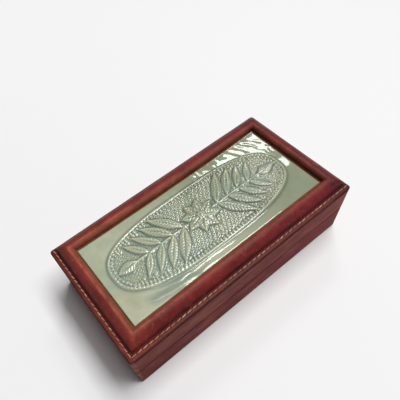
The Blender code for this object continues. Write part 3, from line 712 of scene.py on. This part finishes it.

# Unwaxed oxblood calf: the top's leather with little shine left. It is mottled in streaks drawn
# along the band and scuffed pale on its corners, and painted nearly black under the rim and at
# the seam as painted shade. Its pebbles are drawn as coarse as the top's.
SIDE_MOTTLE = 33.3
MOTTLE_STRETCH = (1.0, 1.0, 2.5)
MOTTLE_STOPS = (0.3, 0.5, 0.62, 0.75)
SCUFF = 5.88
SCUFFED_CALF = "9A7364"
PAINTED_SHADE_CALF = "34120E"
KNOCKED_CALF = "A5796A"
for title, name, colours in (
    ("dusty_oxblood_calf", "lid_side_band", ("622E28", "743D35", "82483F", "905C4E")),
    ("dark_oxblood_calf", "base_side_band", ("5A2723", "6D322E", "7B3E38", "8C5147")),
    # The welt's colours are painted shade: it is drawn darkest because it lies in the rim's shade.
    ("shaded_welt_calf", "lid_welt", ("2E110E", "451C17", "502520", "5E3029")),
):
    side_calf, tree, shader, where = new_material(title)
    place = add_node(tree, "ShaderNodeSeparateXYZ", {"Vector": where}).outputs
    stretched = add_node(tree, "ShaderNodeMapping", {"Vector": where, "Scale": MOTTLE_STRETCH})
    mottle = add_node(
        tree, "ShaderNodeTexNoise",
        {
            "Vector": stretched.outputs["Vector"], "Scale": 1 / (SIDE_MOTTLE * MM),
            "Detail": 5.0, "Roughness": 0.62,
        },
    ).outputs["Fac"]
    side_colour = add_node(
        tree, "ShaderNodeValToRGB", {"Fac": mottle}, stops=list(zip(MOTTLE_STOPS, colours))
    )
    scuffs = add_node(
        tree, "ShaderNodeTexNoise",
        {
            "Vector": where, "Scale": 1 / (SCUFF * MM), "Detail": 6.0, "Roughness": 0.7,
            "Distortion": 1.0,
        },
    ).outputs["Fac"]
    scuff_level = add_node(
        tree, "ShaderNodeMapRange",
        {"Value": scuffs, "From Min": 0.56, "From Max": 0.78, "To Min": 0.0, "To Max": 0.45},
    )
    # Painted shade: the band is darkened just under the rim's overhang.
    under_rim_shade = add_node(
        tree, "ShaderNodeMapRange",
        {
            "Value": place["Z"], "From Min": (RIM_FOOT - UNDER_RIM_START) * MM,
            "From Max": (RIM_FOOT - UNDER_RIM_END) * MM, "To Min": 0.0, "To Max": 0.8,
        },
    )
    # Painted shade: a dark line along the seam between lid and tray.
    seam_shade = add_node(
        tree, "ShaderNodeMath", {0: place["Z"], 1: SEAM_HEIGHT * MM, 2: SEAM_REACH * MM},
        operation="COMPARE",
    )
    from_middle = add_node(tree, "ShaderNodeVectorMath", {0: where}, operation="ABSOLUTE")
    outwards = add_node(
        tree, "ShaderNodeSeparateXYZ", {"Vector": from_middle.outputs["Vector"]}
    ).outputs
    at_end, at_front = (
        add_node(
            tree, "ShaderNodeMapRange",
            {
                "Value": outwards[axis], "From Min": (half - CORNER_WEAR_START) * MM,
                "From Max": (half - CORNER_WEAR_END) * MM,
            },
        )
        for axis, half in (("X", LID_LENGTH / 2), ("Y", LID_WIDTH / 2))
    )
    at_corner = add_node(
        tree, "ShaderNodeMath", {0: at_end.outputs["Result"], 1: at_front.outputs["Result"]},
        operation="MULTIPLY",
    )
    bare = add_node(
        tree, "ShaderNodeMapRange",
        {"Value": scuffs, "From Min": 0.42, "From Max": 0.66, "To Min": 0.0, "To Max": 0.8},
    )
    corner_wear = add_node(
        tree, "ShaderNodeMath", {0: at_corner.outputs["Value"], 1: bare.outputs["Result"]},
        operation="MULTIPLY", use_clamp=True,
    )
    colour = side_colour.outputs["Color"]
    for share, over in (
        (scuff_level.outputs["Result"], SCUFFED_CALF),
        (under_rim_shade.outputs["Result"], PAINTED_SHADE_CALF),
        (seam_shade.outputs["Value"], PAINTED_SHADE_CALF),
        (corner_wear.outputs["Value"], KNOCKED_CALF),
    ):
        colour = add_node(
            tree, "ShaderNodeMixRGB", {"Fac": share, "Color1": colour, "Color2": linear(over)}
        ).outputs["Color"]
    paler = add_node(
        tree, "ShaderNodeMapRange",
        {
            "Value": place["X"], "From Min": -SIDE_ENDS * MM, "From Max": SIDE_ENDS * MM,
            "To Min": 1.0, "To Max": 1.22,
        },
    )
    wine = add_node(
        tree, "ShaderNodeMapRange",
        {
            "Value": place["X"], "From Min": -WINE_ENDS * MM,
            "From Max": WINE_ENDS * MM, "To Min": 0.498, "To Max": 0.492,
        },
    )
    toned = add_node(
        tree, "ShaderNodeHueSaturation",
        {"Color": colour, "Value": paler.outputs["Result"], "Hue": wine.outputs["Result"]},
    )
    tree.links.new(toned.outputs["Color"], shader.inputs["Base Color"])
    dents = add_node(
        tree, "ShaderNodeBump",
        {
            "Height": mottle, "Strength": 0.4, "Distance": 1.2 * MM,
            "Normal": pebbled(tree, where, 0.3),
        },
    )
    tree.links.new(dents.outputs["Normal"], shader.inputs["Normal"])
    shader.inputs["Roughness"].default_value = 0.6
    shader.inputs["Specular IOR Level"].default_value = 0.04
    nodes[name].material_slots[0].material = side_calf


# Tile. A slab of stoneware, pressed in a mould with a raised oval of leaves round a rosette, and
# dipped in a grey-green glaze that runs thin and brown on its edges and pools in the hollows.
TILE_FOOT = 63.9
TILE_EDGE_ROUND = 1.1
TILE_CELL = 0.46
HAND_SLIPS = ((0.7, 13.0), (0.3, 5.0))
OVAL_MARGIN = 8.5
OVAL_POWER = 2.7
OVAL_RISE = 0.9
OVAL_EDGE = (-0.4, 2.4)
CORD_INSET = 2.2
CORD_HALF = 1.3
CORD_RISE = 0.85
CORD_TWIST = 3.4
CORD_SLANT = 1.1
BEAD = 3.1
BEAD_PITCH = 3.5
BEAD_INSET = 5.2
BEAD_RISE = 1.25
RINGLET_PITCH = 4.1
RINGLET_ROW = 0.87
RINGLET = 1.25
RINGLET_HALF = 0.5
RINGLET_RISE = 0.5
RINGLETS_FROM = 7.0
LEAF_MARGIN = 5.0
LEAF_WIDTH = 11.5
LEAF_RISE = 2.5
LEAF_PAIRS = 4
LEAF_ANGLE = math.radians(52.0)
LEAF_SHRINK = 0.11
LEAF_EDGE = 1.3
TIP_LEAF = 22.0
VEIN_RISE = 0.26
VEIN_PITCH = 2.9
VEIN_SLANT = 0.9
VEIN_START = 1.2
MIDRIB_DEPTH = 0.75
MIDRIB_HALF = 0.65
BERRY = 1.5
BERRY_PLACE = (3.6, -1.2)
BERRY_CLUSTER = ((0.0, 0.0), (2.5, -2.0), (-0.4, -3.0))
STEM_START = 8.0
STEM_PAST_LEAVES = 2.0
STEM_HALF = 1.5
STEM_RISE = 1.7
PETALS = 8
PETAL_RISE = 2.7
PETAL_WIDTH = 12.0
OUTER_PETAL = (1.0, 1.0, 1.0)
INNER_PETAL = (0.72, 0.6, 0.8)
ROSETTE_RADIUS = 19.0
HEART_RADIUS, HEART_RISE = 4.6, 3.2
SEEDS = 10
SEED = 1.0
SEED_RING = 3.1
SEED_FOOT = 2.3
FORMS_FOOT = 0.4 * OVAL_RISE
RING_POINTS = 4001

cells_x, cells_y = int(2 * tile_half_x / TILE_CELL), int(2 * tile_half_y / TILE_CELL)
bm = bmesh.new()
bmesh.ops.create_grid(bm, x_segments=cells_x, y_segments=cells_y, size=1.0)
bmesh.ops.scale(bm, vec=(tile_half_x, tile_half_y, 1.0), verts=bm.verts)
pool_layer = bm.verts.layers.float.new("pool")
edge_layer = bm.verts.layers.float.new("edge_gap")
deeper_and_shaded_layer = bm.verts.layers.float.new("deeper_glaze_and_shade")
places = np.array([vertex.co[:2] for vertex in bm.verts])
order = np.lexsort((places[:, 0].round(4), places[:, 1].round(4)))
shape = (cells_y + 1, cells_x + 1)
x = places[order, 0].reshape(shape)
y = places[order, 1].reshape(shape)
draw = np.random.default_rng(11)


def soft_step(value):
    """Rises smoothly from 0 to 1 while the value does, and stays level outside."""
    value = np.clip(value, 0.0, 1.0)
    return value * value * (3 - 2 * value)


def rising(value, start, end):
    """Rises smoothly from 0 at start to 1 at end."""
    return soft_step((value - start) / (end - start))


def soft_noise(x, y, scale):
    """Smooth bumps about scale millimetres across, between -1 and 1."""
    lattice = draw.uniform(-1, 1, (260, 260))
    px, py = x / scale + 130, y / scale + 130
    ix, iy = np.floor(px).astype(int), np.floor(py).astype(int)
    fx, fy = soft_step(px - ix), soft_step(py - iy)
    low = lattice[iy, ix] * (1 - fx) + lattice[iy, ix + 1] * fx
    high = lattice[iy + 1, ix] * (1 - fx) + lattice[iy + 1, ix + 1] * fx
    return low * (1 - fy) + high * fy


def by_hand(line):
    """A straight line of the layout as the hand that carved the mould slipped from it."""
    for slip, length in HAND_SLIPS:
        line = line + slip * soft_noise(x, y, length)
    return line


def domed(off, half):
    """A round section: 1 on its middle line and 0 from half its width outwards."""
    return np.sqrt(np.clip(1 - (off / half) ** 2, 0, 1))


hand_x = by_hand(x)
hand_y = by_hand(y)


def leaf_height(stalk_x, turn, length, width, rise):
    """A leaf or petal: rolled edge, sunk midrib and slanting side veins."""
    along = (hand_x - stalk_x) * math.cos(turn) + hand_y * math.sin(turn)
    side = -(hand_x - stalk_x) * math.sin(turn) + hand_y * math.cos(turn)
    share = np.clip(along / length, 0.0, 1.0)
    half = width / 2 * np.sin(math.pi * share**0.8)
    inside = np.clip((half - np.abs(side)) / LEAF_EDGE, 0.0, 1.0) * (along > 0) * (along < length)
    dome = 1 - np.clip(np.abs(side) / np.maximum(half, 0.1), 0, 1) ** 2
    vein_run = along - VEIN_SLANT * np.abs(side)
    veins = VEIN_RISE * np.cos(2 * math.pi * vein_run / VEIN_PITCH)
    veins *= 1 - np.exp(-((side / VEIN_START) ** 2))
    rib = MIDRIB_DEPTH * np.exp(-((side / MIDRIB_HALF) ** 2)) * (1 - share)
    body = rise * (0.62 + 0.38 * dome) + veins - rib
    return np.sin(inside * math.pi / 2) ** 0.7 * body


def bump_height(centre_x, centre_y, radius, rise):
    """A round bump, such as a bead, a berry or a seed."""
    return rise * domed(np.hypot(hand_x - centre_x, hand_y - centre_y), radius)


oval_x, oval_y = tile_half_x - OVAL_MARGIN, tile_half_y - OVAL_MARGIN
level = (np.abs(x) / oval_x) ** OVAL_POWER + (np.abs(y) / oval_y) ** OVAL_POWER
level = level ** (1 / OVAL_POWER)
slope_y, slope_x = np.gradient(level, y[:, 0], x[0])
inside_by = (1 - level) / np.maximum(np.hypot(slope_x, slope_y), 1e-4)
oval_floor = OVAL_RISE * rising(inside_by, *OVAL_EDGE)
angles = np.linspace(-math.pi, math.pi, RING_POINTS)
ring_x, ring_y = (
    np.sign(wave) * np.abs(wave) ** (2 / OVAL_POWER) * (half - BEAD_INSET)
    for wave, half in ((np.cos(angles), oval_x), (np.sin(angles), oval_y))
)
walked = np.concatenate(([0.0], np.cumsum(np.hypot(np.diff(ring_x), np.diff(ring_y)))))
ring_angles = np.arctan2(ring_y / oval_y, ring_x / oval_x)
walk = np.interp(np.arctan2(y / oval_y, x / oval_x), ring_angles, walked)
twist = 0.75 + 0.25 * np.cos(2 * math.pi * (walk + CORD_SLANT * inside_by) / CORD_TWIST)
cord = CORD_RISE * twist * domed(inside_by - CORD_INSET, CORD_HALF)

row_pitch = RINGLET_PITCH * RINGLET_ROW
row = (hand_y / row_pitch).round()
shifted = hand_x / RINGLET_PITCH + 0.5 * (row % 2)
cell_x = (shifted - shifted.round()) * RINGLET_PITCH
cell_y = hand_y - row * row_pitch
off_ring = (np.hypot(cell_x, cell_y) - RINGLET) / RINGLET_HALF
ringlets = RINGLET_RISE * np.exp(-(off_ring**2))
field = oval_floor + ringlets * (inside_by > RINGLETS_FROM)

forms = np.zeros(shape)
spacing = (oval_x - LEAF_MARGIN - TIP_LEAF - ROSETTE_RADIUS) / LEAF_PAIRS
last_stalk = ROSETTE_RADIUS + spacing * LEAF_PAIRS
longest = (oval_y - LEAF_MARGIN) / math.sin(LEAF_ANGLE)
for way in (1, -1):
    for pair in range(LEAF_PAIRS):
        size = 1 - LEAF_SHRINK * pair
        stalk = way * (ROSETTE_RADIUS + spacing * pair)
        for side in (1, -1):
            turn = side * (LEAF_ANGLE if way > 0 else math.pi - LEAF_ANGLE)
            leaf = leaf_height(stalk, turn, longest * size, LEAF_WIDTH * size, LEAF_RISE)
            forms = np.maximum(forms, leaf)
            berry_x = stalk + way * (longest * size * math.cos(LEAF_ANGLE) + BERRY_PLACE[0])
            berry_y = side * (longest * size * math.sin(LEAF_ANGLE) + BERRY_PLACE[1])
            for shift_x, shift_y in BERRY_CLUSTER:
                berry = bump_height(
                    berry_x + way * shift_x, berry_y + side * shift_y, BERRY, BERRY
                )
                forms = np.maximum(forms, berry)
    turn = 0.0 if way > 0 else math.pi
    tip_leaf = leaf_height(way * last_stalk, turn, TIP_LEAF, LEAF_WIDTH, LEAF_RISE)
    on_stem = (way * x > STEM_START) * (way * x < last_stalk + STEM_PAST_LEAVES)
    stem = STEM_RISE * domed(y, STEM_HALF) * on_stem
    forms = np.maximum(np.maximum(forms, tip_leaf), stem)
for number in range(2 * PETALS):
    long, wide, high = OUTER_PETAL if number % 2 == 0 else INNER_PETAL
    turn = math.pi * (number + 1) / PETALS
    petal = leaf_height(0.0, turn, ROSETTE_RADIUS * long, PETAL_WIDTH * wide, PETAL_RISE * high)
    forms = np.maximum(forms, petal)
forms = np.maximum(forms, bump_height(0.0, 0.0, HEART_RADIUS, HEART_RISE))
for number in range(SEEDS):
    turn = 2 * math.pi * number / SEEDS
    seed = bump_height(SEED_RING * math.cos(turn), SEED_RING * math.sin(turn), SEED, SEED)
    forms = np.maximum(forms, np.where(seed > 0, SEED_FOOT + seed, 0))

bead_row = np.zeros(shape)
beads = int(walked[-1] / BEAD_PITCH)
for number in range(beads):
    spot = walked[-1] * number / beads
    centre_x, centre_y = np.interp(spot, walked, ring_x), np.interp(spot, walked, ring_y)
    bead_row = np.maximum(bead_row, bump_height(centre_x, centre_y, BEAD / 2, BEAD_RISE))

relief = field + cord + bead_row
relief = np.where(forms > 0.05, np.maximum(relief, FORMS_FOOT + forms), relief)


def blurred(heights, times):
    """The relief as it looks when each spot takes on its neighbours' mean, over and over."""
    for _ in range(times):
        padded = np.pad(heights, 1, mode="edge")
        sideways = padded[1:-1, :-2] + padded[1:-1, 2:]
        heights = (sideways + padded[:-2, 1:-1] + padded[2:, 1:-1] + 2 * heights) / 6
    return heights


# The glaze softens the relief, ripples where it ran, and swells to a lip at the slab's back edge.
RIPPLE_RISE = 0.115
RUN_LENGTH = 6.5
DRAG_LENGTH = 9.0
GLAZE_LIP = 0.6
LIP_WIDTH = 2.2
relief = blurred(relief * (0.84 + 0.2 * soft_noise(x, y, 17.0)), 2)
near_back_right = rising(x, -55, 25) * rising(y, -5, 23)
near_front_left = rising(-x, -30, 30) * rising(-y, 12, 28) * rising(x, -95, -65)
run = -inside_by + 3.5 * soft_noise(x, y, 26.0) + 1.2 * soft_noise(x, y, 9.0)
ripple = np.sin(2 * math.pi * run / RUN_LENGTH) + 0.6 * soft_noise(x + 0.6 * y, 2.2 * y, 7.0)
run = x + 0.3 * y + 6.0 * soft_noise(x, y, 24.0) + 2.4 * soft_noise(x, y, 8.0)
dragged = 0.6 * np.sin(2 * math.pi * run / DRAG_LENGTH) + 1.1 * soft_noise(x, y, 5.5)
dragged += 0.9 * soft_noise(x + y, 1.6 * y, 10.0)
rippled = np.maximum(near_back_right * dragged, 1.1 * near_front_left * ripple)
uneven = 0.10 * soft_noise(x, y, 14.0) + 0.04 * soft_noise(x + 0.4 * y, y, 6.0)
uneven += 0.25 * soft_noise(x, y, 38.0)
relief += (uneven + RIPPLE_RISE * rippled) * (0.35 + 0.65 * (inside_by < 0))
lip = GLAZE_LIP * (0.8 + 0.4 * soft_noise(x, y, 16.0)) * np.exp(-(tile_half_y - y) / LIP_WIDTH)
relief += lip * rising(x, -100, -40)

# Where it pools follows from how far each spot lies below its surroundings, far and near.
BROAD_HOLLOW, FINE_HOLLOW = 0.8, 0.5
BROAD_BLUR, FINE_BLUR = 30, 6
deep = (blurred(relief, BROAD_BLUR) - relief) / BROAD_HOLLOW
fine = (blurred(relief, FINE_BLUR) - relief) / FINE_HOLLOW
run_off = near_front_left * (0.16 + 0.34 * soft_noise(x + y, y, 9.0))
pool = np.clip(deep + fine + 0.14 * rising(inside_by, 0, 4) + run_off, -1, 1) * 0.5 + 0.5
# From left to right the glaze turns from its pale to its deep colours, partly its own tone and
# partly painted shade; it is also deeper inside the oval.
deeper_and_shaded = rising(x + 0.5 * y, -60, 70) + 0.35 * rising(inside_by, 0, 5)
deeper_and_shaded = np.clip(deeper_and_shaded, 0.0, 1.0)

edge_gap = np.minimum(tile_half_x - np.abs(x), tile_half_y - np.abs(y))
past_round = np.clip(TILE_EDGE_ROUND - edge_gap, 0, None)
rounded = TILE_EDGE_ROUND - np.sqrt(np.clip(TILE_EDGE_ROUND**2 - past_round**2, 0, None))
height = TILE_TOP + relief - rounded * (edge_gap < TILE_EDGE_ROUND)
back_pull = BACK_BOW * (1 - (x / tile_half_x) ** 2) * rising(y, 15, tile_half_y)
moved_y = y - back_pull

bm.verts.ensure_lookup_table()
for number, spot in enumerate(order):
    i, j = divmod(number, shape[1])
    vertex = bm.verts[int(spot)]
    vertex.co = (Vector((x[i, j], moved_y[i, j], height[i, j])) + tile_centre) * MM
    vertex[pool_layer] = pool[i, j]
    vertex[deeper_and_shaded_layer] = deeper_and_shaded[i, j]
    vertex[edge_layer] = edge_gap[i, j]
skirt = [edge for edge in bm.edges if edge.is_boundary]
made = bmesh.ops.extrude_edge_only(bm, edges=skirt)["geom"]
foot = [part for part in made if isinstance(part, bmesh.types.BMVert)]
for vertex in foot:
    vertex.co.z = TILE_FOOT * MM
bmesh.ops.contextual_create(bm, geom=foot)
bmesh.ops.recalc_face_normals(bm, faces=bm.faces)

# Celadon glaze: glassy and slightly clouded. It is pale and warm at the left end and greyer and
# darker at the right, partly its own tone and partly painted shade. It is deep blue-green in the
# hollows and brown along the edges.
GLAZE_CLOUD = 27.8
CLAY_SPOT = 20.8
CLOUD_COLOUR = "8B9C86"
CLAY_STAIN = "A39A76"
BARE_EDGE = "9A7E5C"
BARE_TO, GLAZED_FROM = 0.1, 1.0
celadon, tree, shader, where = new_material("celadon_glaze")
pooled = add_node(tree, "ShaderNodeAttribute", attribute_name="pool").outputs["Fac"]
depth = add_node(tree, "ShaderNodeAttribute", attribute_name="deeper_glaze_and_shade").outputs["Fac"]
gap = add_node(tree, "ShaderNodeAttribute", attribute_name="edge_gap").outputs["Fac"]
thin_glaze = add_node(
    tree, "ShaderNodeValToRGB", {"Fac": pooled},
    stops=[(0.12, "CED0B4"), (0.36, "C0C4A4"), (0.5, "B7BB9D"), (0.62, "93A089"), (0.85, "5A7067")],
)
deep_glaze = add_node(
    tree, "ShaderNodeValToRGB", {"Fac": pooled},
    stops=[(0.12, "A5AA8A"), (0.36, "92987A"), (0.5, "858D70"), (0.62, "6E7858"), (0.85, "485541")],
)
clouds = add_node(
    tree, "ShaderNodeTexNoise",
    {"Vector": where, "Scale": 1 / (GLAZE_CLOUD * MM), "Detail": 4.0, "Roughness": 0.6},
).outputs["Fac"]
cloud_level = add_node(
    tree, "ShaderNodeMapRange",
    {"Value": clouds, "From Min": 0.42, "From Max": 0.68, "To Min": 0.0, "To Max": 0.5},
)
clay_spots = add_node(
    tree, "ShaderNodeTexNoise",
    {"Vector": where, "Scale": 1 / (CLAY_SPOT * MM), "Detail": 4.0, "Roughness": 0.6},
).outputs["Fac"]
clay_level = add_node(
    tree, "ShaderNodeMapRange",
    {"Value": clay_spots, "From Min": 0.52, "From Max": 0.7, "To Min": 0.0, "To Max": 0.32},
)
thin = add_node(
    tree, "ShaderNodeMapRange",
    {
        "Value": gap, "From Min": BARE_TO, "From Max": GLAZED_FROM, "To Min": 0.9,
        "To Max": 0.0,
    },
)
colour = thin_glaze.outputs["Color"]
for share, over in (
    # The deep share carries painted shade towards the right end as well as the glaze's own depth.
    (depth, deep_glaze.outputs["Color"]),
    (cloud_level.outputs["Result"], linear(CLOUD_COLOUR)),
    (clay_level.outputs["Result"], linear(CLAY_STAIN)),
    (thin.outputs["Result"], linear(BARE_EDGE)),
):
    colour = add_node(
        tree, "ShaderNodeMixRGB", {"Fac": share, "Color1": colour, "Color2": over}
    ).outputs["Color"]
tree.links.new(colour, shader.inputs["Base Color"])
shader.inputs["Roughness"].default_value = 0.05
shader.inputs["IOR"].default_value = 1.6

add_piece("glazed_tile", bm, celadon, "lid", ["ceramic_tile"])


# Inside. The boards are limewood, mitred and glued. Card covered in tan napped cloth lines the
# walls, the floor and the lid, and a thin brown skiver covers the bottom.

# Planed limewood: pale and even, with faint straight grain along the boards. Its year rings are
# drawn wider than lime's own, so that they show.
RING_WIDTH = 3.33
GRAIN_STRETCH = (0.1, 1.0, 1.0)
limewood, tree, shader, where = new_material("planed_limewood")
growth = add_node(tree, "ShaderNodeMapping", {"Vector": where, "Scale": GRAIN_STRETCH})
rings = add_node(
    tree, "ShaderNodeTexNoise",
    {"Vector": growth.outputs["Vector"], "Scale": 1 / (RING_WIDTH * MM), "Detail": 4.0},
)
wood_colour = add_node(
    tree, "ShaderNodeValToRGB", {"Fac": rings.outputs["Fac"]},
    stops=[(0.3, "B9935F"), (0.7, "D3B181")],
)
tree.links.new(wood_colour.outputs["Color"], shader.inputs["Base Color"])
shader.inputs["Roughness"].default_value = 0.6

# Tan napped cloth: quite dull, with a fine fuzz that catches the light and broad patches where
# the nap lies another way. The fuzz is drawn coarser than real nap, which is too fine to show.
NAP = 2.38
BRUSHED_PATCH = 45.5
cloth, tree, shader, where = new_material("tan_napped_cloth")
nap = add_node(
    tree, "ShaderNodeTexNoise",
    {"Vector": where, "Scale": 1 / (NAP * MM), "Detail": 6.0, "Roughness": 0.75},
).outputs["Fac"]
brushed = add_node(
    tree, "ShaderNodeTexNoise", {"Vector": where, "Scale": 1 / (BRUSHED_PATCH * MM), "Detail": 2.0}
).outputs["Fac"]
cloth_colour = add_node(
    tree, "ShaderNodeValToRGB", {"Fac": nap},
    stops=[(0.3, "84603F"), (0.55, "A27C55"), (0.75, "B89068")],
)
cloth_level = add_node(
    tree, "ShaderNodeMapRange",
    {"Value": brushed, "From Min": 0.35, "From Max": 0.65, "To Min": 0.86, "To Max": 1.1},
)
cloth_toned = add_node(
    tree, "ShaderNodeHueSaturation",
    {"Color": cloth_colour.outputs["Color"], "Value": cloth_level.outputs["Result"]},
)
tree.links.new(cloth_toned.outputs["Color"], shader.inputs["Base Color"])
pile = add_node(tree, "ShaderNodeBump", {"Height": nap, "Strength": 0.4, "Distance": 0.3 * MM})
tree.links.new(pile.outputs["Normal"], shader.inputs["Normal"])
shader.inputs["Roughness"].default_value = 0.95
shader.inputs["Sheen Weight"].default_value = 0.3

# Brown skiver: thin split leather, matt and a little mottled. Its fibres are drawn coarser than
# they are, so that they show.
FIBRE = 3.85
skiver, tree, shader, where = new_material("brown_skiver")
fibres = add_node(
    tree, "ShaderNodeTexNoise", {"Vector": where, "Scale": 1 / (FIBRE * MM), "Detail": 5.0}
)
skiver_colour = add_node(
    tree, "ShaderNodeValToRGB", {"Fac": fibres.outputs["Fac"]},
    stops=[(0.35, "3A241C"), (0.65, "563A2D")],
)
tree.links.new(skiver_colour.outputs["Color"], shader.inputs["Base Color"])
shader.inputs["Roughness"].default_value = 0.75

for name, node in nodes.items():
    if "lining" in name or name == "floor_pad":
        node.material_slots[0].material = cloth
    elif name == "bottom_cover":
        node.material_slots[0].material = skiver
    elif "wall" in name or "panel" in name or "moulding" in name or name == "tile_bed":
        node.material_slots[0].material = limewood


# Hinges. Two brass butt hinges join the lid to the tray. Each leaf is let into the edge of a board
# and held by three small brass screws with slotted flat heads, seen only when the lid is open.
HINGE_AXIS_Y = 66.0
HINGE_PLACE = 78.0
LEAF_MIDDLE = 6.1
LEAF_FACE = 0.15
SCREW_SPREAD = 9.5
HEAD_RADIUS = 1.5
SCREW_SLOT = 0.4
HEAD_RISE = 0.06
HEAD_SIDES = 20
SLOT_TURN = 0.5
SLOT_TURN_STEP = 0.9

# Brass: yellow metal. On the hinges it has dulled to a soft gleam with brown spots of tarnish.
# The screw heads are brighter, rubbed over fine scratches that are drawn coarse enough to show.
TARNISH_SPOT = 3.33
SCRATCH = 1.11
brasses = []
for title, width, detail, stops, roughness in (
    ("dulled_brass", TARNISH_SPOT, 4.0, [(0.3, "8C6A35"), (0.7, "C9A562")], 0.35),
    ("worn_brass_screw_heads", SCRATCH, 3.0, [(0.3, "A5803F"), (0.7, "DDBB78")], 0.28),
):
    brass, tree, shader, where = new_material(title)
    marks = add_node(
        tree, "ShaderNodeTexNoise", {"Vector": where, "Scale": 1 / (width * MM), "Detail": detail}
    )
    brass_colour = add_node(
        tree, "ShaderNodeValToRGB", {"Fac": marks.outputs["Fac"]}, stops=stops
    )
    tree.links.new(brass_colour.outputs["Color"], shader.inputs["Base Color"])
    shader.inputs["Metallic"].default_value = 1.0
    shader.inputs["Roughness"].default_value = roughness
    brasses.append(brass)
dulled_brass, worn_brass = brasses

for name, node in nodes.items():
    if "hinge" in name:
        node.material_slots[0].material = dulled_brass


def add_half_head(bm, slot_side, turn, place):
    """One side of a slotted head: a disc cut off at the slot, thickened, turned and placed."""
    disc = bmesh.ops.create_circle(bm, cap_ends=True, segments=HEAD_SIDES, radius=HEAD_RADIUS)
    verts = disc["verts"]
    faces = list({face for vertex in verts for face in vertex.link_faces})
    edges = list({edge for vertex in verts for edge in vertex.link_edges})
    cut = bmesh.ops.bisect_plane(
        bm, geom=verts + edges + faces, plane_co=(0, slot_side * SCREW_SLOT / 2, 0),
        plane_no=(0, slot_side, 0), clear_inner=True,
    )
    kept = [
        part for part in cut["geom"] if isinstance(part, bmesh.types.BMFace) and part.is_valid
    ]
    thickened = bmesh.ops.extrude_face_region(bm, geom=kept)["geom"]
    top = [part for part in thickened if isinstance(part, bmesh.types.BMVert)]
    bmesh.ops.translate(bm, vec=(0, 0, 2 * HEAD_RISE), verts=top)
    half_head = list({vertex for face in kept for vertex in face.verts} | set(top))
    bmesh.ops.rotate(bm, matrix=Matrix.Rotation(turn, 3, "Z"), verts=half_head)
    bmesh.ops.translate(bm, vec=place, verts=half_head)


for half, body, foot_height in (
    ("base", "tray", SEAM_HEIGHT - LEAF_FACE - HEAD_RISE),
    ("lid", "lid", SEAM_HEIGHT + LEAF_FACE - HEAD_RISE),
):
    bm = bmesh.new()
    for centre in (-HINGE_PLACE, HINGE_PLACE):
        for step in (-1, 0, 1):
            slot_turn = SLOT_TURN + SLOT_TURN_STEP * step + centre
            place = (centre + step * SCREW_SPREAD, HINGE_AXIS_Y - LEAF_MIDDLE, foot_height)
            for slot_side in (1, -1):
                add_half_head(bm, slot_side, slot_turn, place)
    bmesh.ops.scale(bm, vec=(MM, MM, MM), verts=bm.verts)
    bmesh.ops.recalc_face_normals(bm, faces=bm.faces)
    add_piece(f"{half}_leaf_screws", bm, worn_brass, body, smooth=False)
